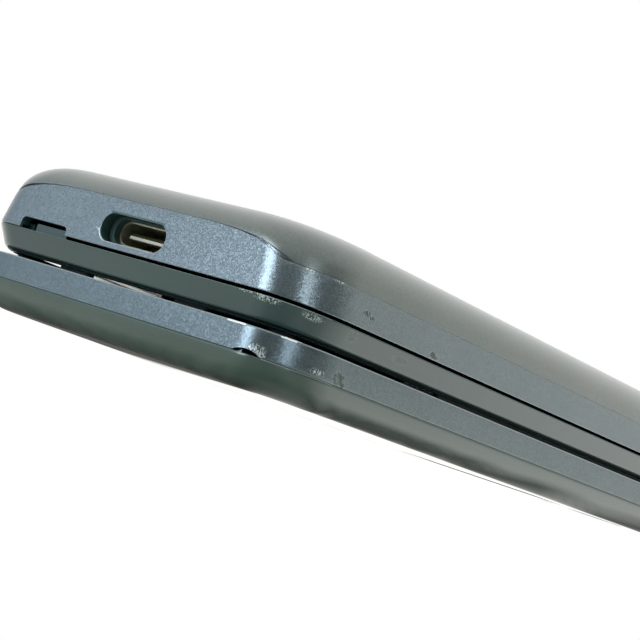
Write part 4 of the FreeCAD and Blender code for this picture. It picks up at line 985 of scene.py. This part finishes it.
def wovenMesh(name, pitch):
    # fine woven wire: threads crossing, dark between them
    material, tree, place = newMaterial(name)
    wires = addNode(tree, "ShaderNodeTexChecker", {
        "Vector": place, "Scale": 1.0 / (pitch * mm), "Color1": linear("#55585a"),
        "Color2": linear("#17191a")})
    return finishMaterial(material, "ShaderNodeBsdfPrincipled", {
        "Base Color": wires, "Metallic": 0.8, "Roughness": 0.4})


def softRubber(name, dark, light, shine=0.5):
    # moulded rubber: dull, with a faint dusty bloom
    material, tree, place = newMaterial(name)
    bloom = addNode(tree, "ShaderNodeTexNoise", {"Vector": place, "Scale": 700.0, "Detail": 5.0})
    ramp = addNode(tree, "ShaderNodeValToRGB", {"Fac": bloom}, ((0.0, dark), (1.0, light)))
    bump = addNode(tree, "ShaderNodeBump", {"Height": bloom, "Strength": 0.2, "Distance": 0.00003})
    return finishMaterial(material, "ShaderNodeBsdfPrincipled", {
        "Base Color": ramp, "Roughness": 0.75, "Specular IOR Level": shine, "Normal": bump})


# Marks of use, each an oval: centre x, y, z and half sizes, all in millimetres, and depth
frontWear = {"scuffs": ((18.7, -56.4, 9.42, 1.7, 0.9, 0.30, 1.0), (21.2, -56.0, 9.20, 2.4, 1.6, 0.55, 1.0),
                        (24.4, -52.2, 8.95, 1.4, 2.6, 0.62, 0.7)),
             "ringedSpots": ((25.2, -46.2, 8.7, 1.0, 1.1, 0.95, 1.0), (25.1, -36.9, 8.4, 1.0, 2.0, 0.60, 1.0))}
rearWear = {"scuffs": ((24.5, -50.2, 13.7, 1.5, 1.7, 0.75, 1.0), (23.3, -53.6, 13.5, 0.8, 0.8, 0.4, 1.0)),
            "ringedSpots": ((25.2, -45.0, 11.5, 1.0, 1.1, 0.50, 1.0), (25.2, -44.0, 11.2, 1.0, 0.8, 0.35, 1.0),
                      (25.4, -31.8, 10.3, 1.0, 1.4, 0.55, 1.0))}
lidWear = {"scuffs": ((25.1, -49.6, 4.0, 1.0, 2.2, 0.55, 0.7), (22.4, -55.4, 3.62, 0.8, 0.8, 0.45, 1.0),
                      (21.9, -55.7, 4.10, 1.5, 1.3, 0.80, 1.0)),
           "ringedSpots": ((25.3, -46.2, 4.1, 1.0, 1.5, 1.1, 1.0), (25.3, -45.3, 3.7, 1.0, 0.9, 0.6, 1.0))}

paint = flakePaint("navyFlakePaint", "#626f71", "#747f82", 0.24, 0.13, marks=rearWear)
# the lid band's lacquer is the case's, drawn darker: painted shade
lidShadedPaint = flakePaint("navyFlakePaintLidShaded", "#4f5d5f", "#687476", 0.28, 0.11, marks=lidWear)
coverPaint = flakePaint("navyFlakePaintCover", "#49534e", "#646e68", 0.30, 0.07, 0.9, 0.28, haze=0.30)
# lighter paint for the port's rim and the lid's top edge: a painted highlight over paint rubbed thin
rubbedAndLitPaint = flakePaint("rimPaintedHighlight", "#9dabad", "#aab8ba", 0.30, 0.03)
satin = smoothResin("darkSatinResin", "#2e4340", "#324844", 0.16, marks=frontWear)
# lighter satin for the case's upper edge, a painted edge highlight on rubbed resin, and for the panel's
# rubbed edge
satinEdgeWornAndLit = smoothResin("satinEdgeRubbedAndLit", "#73827e", "#7f8d89", 0.30)
faceResin = smoothResin("keypadFaceResin", "#15191a", "#1a1e1f", 0.04, grainDepth=0.0)
gloss = smoothResin("greyGreenLacquer", "#33473e", "#384c43", 0.20, 0.2, 0.10, shineBelow=0.12)
flatGloss = smoothResin("greyGreenLacquerFlat", "#33473e", "#384c43", 0.05, 0.2, 0.03)
rawResin = smoothResin("unpaintedResin", "#1e3833", "#24403a", 0.35)
# near black and without shine, for the notch's inside: painted shade
notchShadePaint = smoothResin("notchPaintedShade", "#0a0c0b", "#0f1211", 0.6, shine=0.0)
# near white, for the strokes on the lid's top edge: painted highlight
edgeGlintPaint = smoothResin("lidEdgePaintedGlint", "#eef3f2", "#fbfdfc", 0.4)
keyResin = smoothResin("keyResin", "#252a2c", "#2b3133", 0.28, 0.4)
bumperRubber = softRubber("bumperRubber", "#0d0e0e", "#1b1c1c")

dress(rearShell, paint, rawResin, rubbedAndLitPaint)
dress(lidShell, lidShadedPaint, notchShadePaint, rubbedAndLitPaint, edgeGlintPaint)
dress(coverShell, coverPaint)
dress(frontShell, satin, faceResin, satinEdgeWornAndLit)
dress(panelShell, gloss, satinEdgeWornAndLit, flatGloss)
dress(cushions, bumperRubber)
# the groove's strip is near black and without shine: painted shade
dress(beltShadeStrip, softRubber("groovePaintedShade", "#010101", "#030303", shine=0.0))

finishes = {
    "display_bezel": smoothResin("bezelResin", "#101314", "#141819", 0.05, grainDepth=0.0),
    "main_display": smoothResin("displayGlassOff", "#07080a", "#0a0c0f", 0.08, 1.0, 0.02),
    "display_window": printedWindow("printedDisplayWindow", 21.0, -45.6, 34.4),
    "sub_display": smoothResin("smallDisplayOff", "#07080a", "#0a0c0f", 0.08),
    "sub_display_window": smoothResin("smokedWindow", "#08090a", "#0b0d0e", 0.05, 1.0, 0.02),
    "camera_windows": printedWindow("cameraWindow", 20.0, 30, 45),
    "camera_module": smoothResin("cameraHousing", "#0a0b0c", "#121415", 0.35),
    "earpiece": smoothResin("earpieceHousing", "#0a0b0c", "#121415", 0.5),
    "earpiece_mesh": wovenMesh("earpieceMesh", 0.18),
    "lid_board": boardLaminate("lidBoardLaminate"),
    "main_board": boardLaminate("mainBoardLaminate"),
    "bumpers": bumperRubber,
    "lid_screws": platedMetal("screwSteel", "#85878a", "#a2a4a6", 0.35),
    "closing_magnet": platedMetal("magnetPlating", "#b2b2ae", "#cbcbc7", 0.25),
    "hinge_can": platedMetal("hingeCanSteel", "#8e9092", "#aaacae", 0.3, stretch=(0.1, 1, 1)),
    "hinge_flex": platedMetal("amberFilm", "#8f5b1c", "#a96d25", 0.35, metallic=0.0),
    "battery": smoothResin("batteryWrap", "#b9bbbb", "#c7c9c9", 0.4),
    "antenna": platedMetal("copperFoil", "#9c6b4c", "#b98263", 0.35),
    "loudspeaker": smoothResin("speakerHousing", "#0d0e0e", "#151616", 0.5),
    "usb_shell": platedMetal("nickelShell", "#93937b", "#b1b199", 0.40, metallic=0.75),
    "usb_seal": softRubber("portSeal", "#1f3934", "#2c4c46"),
}
shared = {"hinge_can": ["hinge_follower"], "hinge_flex": ["dome_sheet"],
          "closing_magnet": ["shield_cans", "card_holder", "vibration_motor"],
          "lid_screws": ["hinge_spring", "hinge_shaft", "plain_pin", "case_screws"]}
for owner, others in shared.items():
    for name in others:
        finishes[name] = finishes[owner]
for name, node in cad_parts.items():
    for slot in node.material_slots:
        slot.link = "OBJECT"
        slot.material = finishes.get(name, keyResin if name.startswith("key_") else paint)
print("finishes", len(bpy.data.materials))


# Studio: a one-way floor, a white surround and soft lamps, and what the gloss reflects

ground = {"half": 1500.0, "z": -0.02, "fadeFrom": 0.10, "fadeTo": 0.55, "nearShare": 0.30}
nearCorner = Vector((0.02, -0.05, 0.01))
lampTint = (0.90, 0.96, 1.0)
shadowTint = (0.36, 0.37, 0.37, 1.0)
lamps = {
    "overhead": {"azimuth": -150, "height": 80, "distance": 0.9, "size": (0.8, 0.8), "power": 2.5},
    "left": {"azimuth": -108, "height": 18, "distance": 0.8, "size": (0.40, 0.5), "power": 3.3},
    "near": {"azimuth": -10, "height": 24, "distance": 0.8, "size": (0.12, 0.62), "power": 1.45},
}


def floorMaterial():
    # pale sheet that shows only from above, so a low camera looks under it; it is white in a reflection and
    # turns into the white surround away from the phone
    material, tree, place = newMaterial("paleSheet")
    facing = addNode(tree, "ShaderNodeNewGeometry")
    grain = addNode(tree, "ShaderNodeTexNoise", {"Vector": place, "Scale": 25.0})
    ramp = addNode(tree, "ShaderNodeValToRGB", {"Fac": grain}, ((0.0, "#eeeeec"), (1.0, "#f2f2f1")))
    paper = addNode(tree, "ShaderNodeBsdfDiffuse", {"Color": ramp})
    shine = addNode(tree, "ShaderNodeEmission", {"Color": linear("#fbfcfb"), "Strength": 1.0})
    path = addNode(tree, "ShaderNodeLightPath")
    away = addNode(tree, "ShaderNodeVectorMath", {0: place}, operation="LENGTH")
    fade = addNode(tree, "ShaderNodeMapRange", {
        "Value": (away, "Value"), "From Min": ground["fadeFrom"], "From Max": ground["fadeTo"],
        "To Min": ground["nearShare"]}, interpolation_type="SMOOTHSTEP")
    seen = addNode(tree, "ShaderNodeMath", {0: (path, "Is Camera Ray"), 1: fade}, operation="MULTIPLY")
    bright = addNode(tree, "ShaderNodeMath", {0: (path, "Is Glossy Ray"), 1: seen}, operation="MAXIMUM")
    above = addNode(tree, "ShaderNodeMixShader", {0: bright, 1: paper, 2: shine})
    clear = addNode(tree, "ShaderNodeBsdfTransparent")
    return finishMaterial(material, "ShaderNodeMixShader", {0: (facing, "Backfacing"), 1: above, 2: clear})


def aimedOut(azimuth, height, distance):
    # a place seen from the near corner in a direction given in degrees, and that direction
    a = math.radians(azimuth)
    h = math.radians(height)
    out = Vector((math.cos(a) * math.cos(h), math.sin(a) * math.cos(h), math.sin(h)))
    return nearCorner + out * distance, out


floorCorners = [(x * ground["half"], y * ground["half"], ground["z"])
                for x, y in ((-1, -1), (1, -1), (1, 1), (-1, 1))]
floor = dress(shapeFrom("floor", floorCorners, [(0, 1, 2, 3)]), floorMaterial())

world = bpy.data.worlds.new("studio")
bpy.context.scene.world = world
world.use_nodes = True
tree = world.node_tree
tree.nodes.clear()
path = addNode(tree, "ShaderNodeLightPath")
seen = addNode(tree, "ShaderNodeMath", {0: (path, "Is Camera Ray"), 1: (path, "Is Glossy Ray")},
               operation="MAXIMUM")
seen = addNode(tree, "ShaderNodeMath", {0: seen, 1: (path, "Is Transmission Ray")}, operation="MAXIMUM")
dim = addNode(tree, "ShaderNodeBackground", {"Color": shadowTint, "Strength": 1.0})
white = addNode(tree, "ShaderNodeBackground", {"Color": (1.0, 1.0, 1.0, 1.0), "Strength": 1.0})
surround = addNode(tree, "ShaderNodeMixShader", {0: seen, 1: dim, 2: white})
addNode(tree, "ShaderNodeOutputWorld", {"Surface": surround})

for name, spec in lamps.items():
    data = bpy.data.lights.new(name, "AREA")
    data.shape = "RECTANGLE"
    data.size, data.size_y = spec["size"]
    data.energy = spec["power"]
    data.color = lampTint
    lamp = objectFrom(name, data)
    lamp.location, out = aimedOut(spec["azimuth"], spec["height"], spec["distance"])
    lamp.rotation_euler = out.to_track_quat("Z", "Y").to_euler()
    lamp.visible_glossy = False

# What the gloss reflects: a tent of pale cloth with two soft lights and two dark gaps, and the table below
# it. Each entry is a direction in degrees round the near corner and how bright the sheet is there.
tent = {
    "turns": 121, "rings": 20, "distance": 0.95, "fadeStart": 20.0, "fadeEnd": 46.0,
    "cloth": ((-180, 0.80), (-160, 0.85), (-142, 1.0), (-133, 1.45), (-126, 2.7), (-120, 6.0), (-112, 9.2),
              (-101, 8.4), (-94, 2.4), (-86, 0.35), (-76, 0.08), (-50, 0.04), (-30, 0.08), (-21, 0.5),
              (-15, 3.2), (-8, 5.5), (-2, 2.6), (3, 0.25), (10, 0.06), (30, 0.06), (38, 0.4), (46, 0.9),
              (56, 1.1), (70, 1.1), (100, 1.0), (140, 0.9), (180, 0.80)),
    "table": ((-180, 1.4), (-165, 1.2), (-150, 1.0), (-120, 1.0), (-95, 0.9), (-80, 0.55), (-50, 0.45),
              (-25, 0.55), (-12, 0.8), (0, 0.8), (8, 0.7), (20, 0.9), (32, 1.5), (50, 2.1), (80, 2.1),
              (120, 1.4), (180, 1.4)),
    "flat": ((-180, 0.12), (-90, 0.12), (-50, 0.7), (0, 1.0), (60, 1.12), (146, 1.12), (157, 0.12),
             (180, 0.12)),
    "centre": (0.0195, -0.0505, -0.00001), "nearReach": (0.0001, 0.12, 41), "midReach": 0.3,
    "under": 0.30, "dimStart": -1.2, "dimRun": 1.8, "flatStart": 2.4, "flatRun": 0.6,
    "coolEnd": (5, 35), "cool": (0.80, 0.94, 1.17), "warm": (1.0, 1.0, 0.97),
}
turns = np.linspace(-180, 180, tent["turns"])


def glowAt(side, azimuth):
    places, values = zip(*tent[side])
    return float(np.interp(azimuth, places, values))


def glowingSheet(name, rows, brightness, cooled):
    # a sheet seen by reflections alone, whose brightness is kept at its corners
    count = len(turns)
    faces = [(r * count + c, r * count + c + 1, (r + 1) * count + c + 1, (r + 1) * count + c)
             for r in range(len(rows) - 1) for c in range(count - 1)]
    sheet = shapeFrom(name, [point for row in rows for point in row], faces, 1.0)
    glow = sheet.data.color_attributes.new("glow", "FLOAT_COLOR", "POINT")
    for i, value in enumerate(value for row in brightness for value in row):
        cool = cooled * (1 - between(turns[i % count], *tent["coolEnd"])) * (1 - i // count / len(rows))
        tint = [value * (c * cool + w * (1 - cool)) for c, w in zip(tent["cool"], tent["warm"])]
        glow.data[i].color = (*tint, 1.0)
    material = newMaterial("tentCloth")[0]
    stored = addNode(material.node_tree, "ShaderNodeVertexColor", layer_name="glow")
    dress(sheet, finishMaterial(material, "ShaderNodeEmission", {"Color": stored, "Strength": 1.0}))
    for ray in ("camera", "diffuse", "transmission", "volume_scatter", "shadow"):
        setattr(sheet, "visible_" + ray, False)


rows = []
glows = []
for height in np.linspace(0.0, tent["fadeEnd"], tent["rings"]):
    keep = 1 - between(height, tent["fadeStart"], tent["fadeEnd"])
    rows.append([aimedOut(turn, height, tent["distance"])[0] for turn in turns])
    glows.append([1 + (glowAt("cloth", turn) - 1) * keep for turn in turns])
glowingSheet("tent", rows, glows, 1.0)
rows = []
glows = []
startX, startY, startZ = tent["centre"]
for reach in (*np.linspace(*tent["nearReach"]), tent["midReach"], tent["distance"]):
    rows.append([(startX + reach * math.cos(math.radians(turn)),
                  startY + reach * math.sin(math.radians(turn)), startZ) for turn in turns])
    line = []
    for turn, (x, y, z) in zip(turns, rows[-1]):
        # under the phone's edge the reflected table is drawn dim, a painted contact shadow, and the flat has
        # its own brightness
        depth = min(phone["halfWidth"] - abs(x / mm), y / mm - phone["freeY"], -phone["freeY"] - y / mm)
        dim = between(depth, tent["dimStart"], tent["dimStart"] + tent["dimRun"])
        inner = between(depth, tent["flatStart"], tent["flatStart"] + tent["flatRun"])
        below = tent["under"] * (1 - inner) + glowAt("flat", turn) * inner
        line.append(below * dim + glowAt("table", turn) * (1 - dim))
    glows.append(line)
glowingSheet("tableGlow", rows, glows, 0.0)
print("studio")


# Rows of small bars, made by geometry nodes: contacts and the threads of a cloth

def barRowTree():
    tree = bpy.data.node_groups.new("barRow", "GeometryNodeTree")
    tree.interface.new_socket(name="Geometry", in_out="OUTPUT", socket_type="NodeSocketGeometry")
    sockets = {}
    for name, kind in (("Count", "Int"), ("First", "Vector"), ("Step", "Vector"), ("Bar", "Vector"),
                       ("Finish", "Material")):
        socket = tree.interface.new_socket(name=name, in_out="INPUT", socket_type="NodeSocket" + kind)
        sockets[name] = socket.identifier
    given = addNode(tree, "NodeGroupInput")
    row = addNode(tree, "GeometryNodeMeshLine", {
        "Count": (given, "Count"), "Start Location": (given, "First"), "Offset": (given, "Step")},
        mode="OFFSET")
    bar = addNode(tree, "GeometryNodeMeshCube", {"Size": (given, "Bar")})
    placed = addNode(tree, "GeometryNodeInstanceOnPoints", {"Points": row, "Instance": bar})
    real = addNode(tree, "GeometryNodeRealizeInstances", {"Geometry": placed})
    finished = addNode(tree, "GeometryNodeSetMaterial", {"Geometry": real, "Material": (given, "Finish")})
    addNode(tree, "NodeGroupOutput", {"Geometry": finished})
    return tree, sockets


rowTree, rowSockets = barRowTree()


def barRow(name, count, first, step, bar, finish):
    # count bars of one size, the first at a place and each a step on, all in millimetres
    item = objectFrom(name, bpy.data.meshes.new(name))
    change = item.modifiers.new("row", "NODES")
    change.node_group = rowTree
    change[rowSockets["Count"]] = count
    for key, value in (("First", first), ("Step", step), ("Bar", bar)):
        change[rowSockets[key]] = tuple(c * mm for c in value)
    change[rowSockets["Finish"]] = finish
    return baked(item)


# Tongue of the USB-C receptacle: a chamfered blade on a block, with twelve contacts on each face

tongue = {"halfWidth": 3.7, "front": -53.3, "back": -48.9, "corner": 0.5, "half": 0.35, "topChamfer": 0.34,
          "topStart": -0.02, "lowChamfer": 0.04, "blockHalf": (4.12, 1.22), "blockBack": -47.65,
          "blockOverlap": 0.1, "contacts": 12, "pitch": 0.5, "contactSize": (0.28, 3.4, 0.03),
          "contactY": -51.0}


def tongueBlade():
    half, low = tongue["half"], tongue["lowChamfer"]
    middle = (tongue["front"] + tongue["back"]) / 2
    length = tongue["back"] - tongue["front"]
    rings = []
    for inset, rise in ((low, -half), (0.0, low - half), (0.0, tongue["topStart"]),
                        (tongue["topChamfer"], half)):
        ring = roundedRectangle(0, middle, 2 * (tongue["halfWidth"] - inset), length - 2 * inset,
                                tongue["corner"])
        rings.append([(x, y, phone["portZ"] + rise) for x, y in ring])
    return sweptShape("blade", rings)


print("receptacle tongue")
blade = dress(tongueBlade(), smoothResin("tongueResin", "#bcbfae", "#c9ccbc", 0.35),
              smoothResin("tonguePaintedShade", "#34331f", "#3d3c27", 0.4))
# the faces that look up are drawn dark: painted shade under the shell above
markFaces(blade, 1, lambda c, n: n.z > 0.3)
block = stadiumBar(*tongue["blockHalf"], ((tongue["back"] - tongue["blockOverlap"], 0.0),
                                          (tongue["blockBack"], 0.0)))
parts = [blade, dress(block, smoothResin("blockResin", "#3a3a26", "#44442e", 0.5))]
goldContact = platedMetal("goldContact", "#a5813a", "#c09a4c", 0.25)
for side in (1, -1):
    first = (-(tongue["contacts"] - 1) / 2 * tongue["pitch"], tongue["contactY"],
             phone["portZ"] + side * tongue["half"])
    parts.append(barRow("contacts", tongue["contacts"], first, (tongue["pitch"], 0, 0), tongue["contactSize"],
                        goldContact))
tongueShell = joined("tongueShell", parts)


# Cloth behind the speaker slots: threads both ways, drawn 0.11 mm wide so that they show

cloth = {"half": (5.2, 2.75), "pitch": 0.20, "thread": 0.11, "z": 17.56}
threadResin = smoothResin("clothThread", "#15181a", "#1d2123", 0.5)
(halfX, halfY), pitch, thread = cloth["half"], cloth["pitch"], cloth["thread"]
speakerCloth = joined("speakerCloth", [
    barRow("warp", int(2 * halfX / pitch), (-halfX, speaker["y"], cloth["z"]), (pitch, 0, 0),
           (thread, 2 * halfY, thread), threadResin),
    barRow("weft", int(2 * halfY / pitch), (0, speaker["y"] - halfY, cloth["z"] - thread / 2), (0, pitch, 0),
           (2 * halfX, thread, thread), threadResin)])


# Markings on the keys: printed signs 0.03 mm thick, read with the hinge at the top

marks = {"z": 6.82, "thick": 0.03, "digit": 4.3, "letters": 1.9, "digitX": -3.4, "lettersX": 2.7,
         "drop": -0.1, "columns": (15.5, 0.0, -15.5), "rows": (-3.1, -14.1, -25.1, -36.1), "callRow": 6.7,
         "navY": 25.7, "clear": 3.4, "arrow": ((0.0, 9.6), (-1.2, 7.9), (1.2, 7.9)), "dot": (2.6, 1.29),
         "soft": (3.4, 0.5, 0.2), "softX": 17.6, "softY": 6.1, "bow": (2.6, -1.7), "grip": (1.75, -1.55),
         "ear": ((2.75, -0.75), (1.45, -0.95))}
keyLetters = {"1": "", "2": "ABC", "3": "DEF", "4": "GHI", "5": "JKL", "6": "MNO", "7": "PQRS", "8": "TUV",
              "9": "WXYZ", "star": "", "0": "+", "hash": ""}
# pad-printed inks, nearly even, with faint mottling where they are thin
whiteInk = smoothResin("whiteKeyInk", "#c9cdcc", "#d6dad9", 0.45, grainDepth=0.0)
greenInk = smoothResin("greenKeyInk", "#2f9a55", "#37a85f", 0.45, grainDepth=0.0)
redInk = smoothResin("redKeyInk", "#b5382f", "#c2433a", 0.45, grainDepth=0.0)


def onKey(item, x, y, ink):
    # turns a flat sign, drawn face up, to lie on a key that faces down
    for vertex in item.data.vertices:
        u, v, w = vertex.co / mm
        vertex.co = Vector((x - u, y + v, marks["z"] - w)) * mm
    item.data.update()
    return dress(item, ink)


def textSign(text, size, x, y, u=0.0, v=0.0):
    curve = bpy.data.curves.new("sign", "FONT")
    curve.body = text
    curve.size = size * mm
    curve.align_x = "CENTER"
    curve.align_y = "CENTER"
    curve.extrude = marks["thick"] / 2 * mm
    curve.resolution_u = 4
    source = objectFrom("sign", curve)
    mesh = bpy.data.meshes.new_from_object(source.evaluated_get(bpy.context.evaluated_depsgraph_get()))
    bpy.data.objects.remove(source)
    mesh.transform(Matrix.Translation((u * mm, v * mm, 0)))
    return onKey(objectFrom("sign", mesh), x, y, whiteInk)


def flatSign(points, x, y, ink=whiteInk):
    # a closed outline in the sign's plane, made as thick as the ink
    half = marks["thick"] / 2
    return onKey(extruded("sign", points, -half, half), x, y, ink)


def turnedPoints(points, degrees):
    a = math.radians(degrees)
    return [(u * math.cos(a) - v * math.sin(a), u * math.sin(a) + v * math.cos(a)) for u, v in points]


def handset(degrees):
    # a telephone handset: a bow with an earpiece at each end, turned by a number of degrees
    shape = []
    for (radius, v), ends, side in ((marks["bow"], (150, 30), 1), (marks["grip"], (30, 150), -1)):
        shape += [(radius * math.cos(a), radius * math.sin(a) + v) for a in anglesBetween(*ends, 12)]
        shape += [(side * x, y) for x, y in marks["ear"][::side]]
    return turnedPoints(shape, degrees)


printed = {}
for place, (name, letters) in enumerate(keyLetters.items()):
    x = marks["columns"][place % 3]
    y = marks["rows"][place // 3]
    shown = {"star": "*", "hash": "#"}.get(name, name)
    printed[name] = [textSign(shown, marks["digit"], x, y, marks["digitX"] if letters else 0, marks["drop"])]
    if letters:
        printed[name].append(textSign(letters, marks["letters"], x, y, marks["lettersX"], marks["drop"]))
left, middle, right = marks["columns"]
printed["call"] = [flatSign(handset(45), left, marks["callRow"], greenInk)]
printed["clear"] = [textSign("C", marks["clear"], middle, marks["callRow"])]
printed["end"] = [flatSign(handset(0), right, marks["callRow"], redInk)]
printed["nav"] = [flatSign(turnedPoints(marks["arrow"], 90 * turn), 0, marks["navY"]) for turn in range(4)]
width, corner = marks["dot"]
printed["select"] = [flatSign(roundedRectangle(0, 0, width, width, corner), 0, marks["navY"])]
for number, (side, v) in enumerate(((1, 1), (-1, 1), (1, -1), (-1, -1)), 1):
    printed["soft_" + str(number)] = [flatSign(roundedRectangle(0, 0, *marks["soft"]), side * marks["softX"],
                                               marks["navY"] + v * marks["softY"])]
print("key markings", sum(len(signs) for signs in printed.values()))
for name, signs in printed.items():
    piece = joined("marks_key_" + name, signs)
    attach(piece, "key_" + name)


# Pieces ride on their bodies

for piece, body, node, slot in ((rearShell, "keypad_half", "rear_case", "flake_paint"),
                                (coverShell, "battery_cover", "battery_cover", "dark_gloss"),
                                (frontShell, "keypad_half", "front_case", "dark_satin"),
                                (lidShell, "lid", "lid_frame", "flake_paint"),
                                (panelShell, "lid", "outer_panel", "dark_gloss"),
                                (beltShadeStrip, "keypad_half", None, "soft_rubber"),
                                (cushions, "lid", None, "soft_rubber"),
                                (tongueShell, "keypad_half", "usb_tongue", "pale_plastic"),
                                (speakerCloth, "keypad_half", None, "fine_mesh")):
    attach(piece, body)
    if node:
        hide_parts(node)
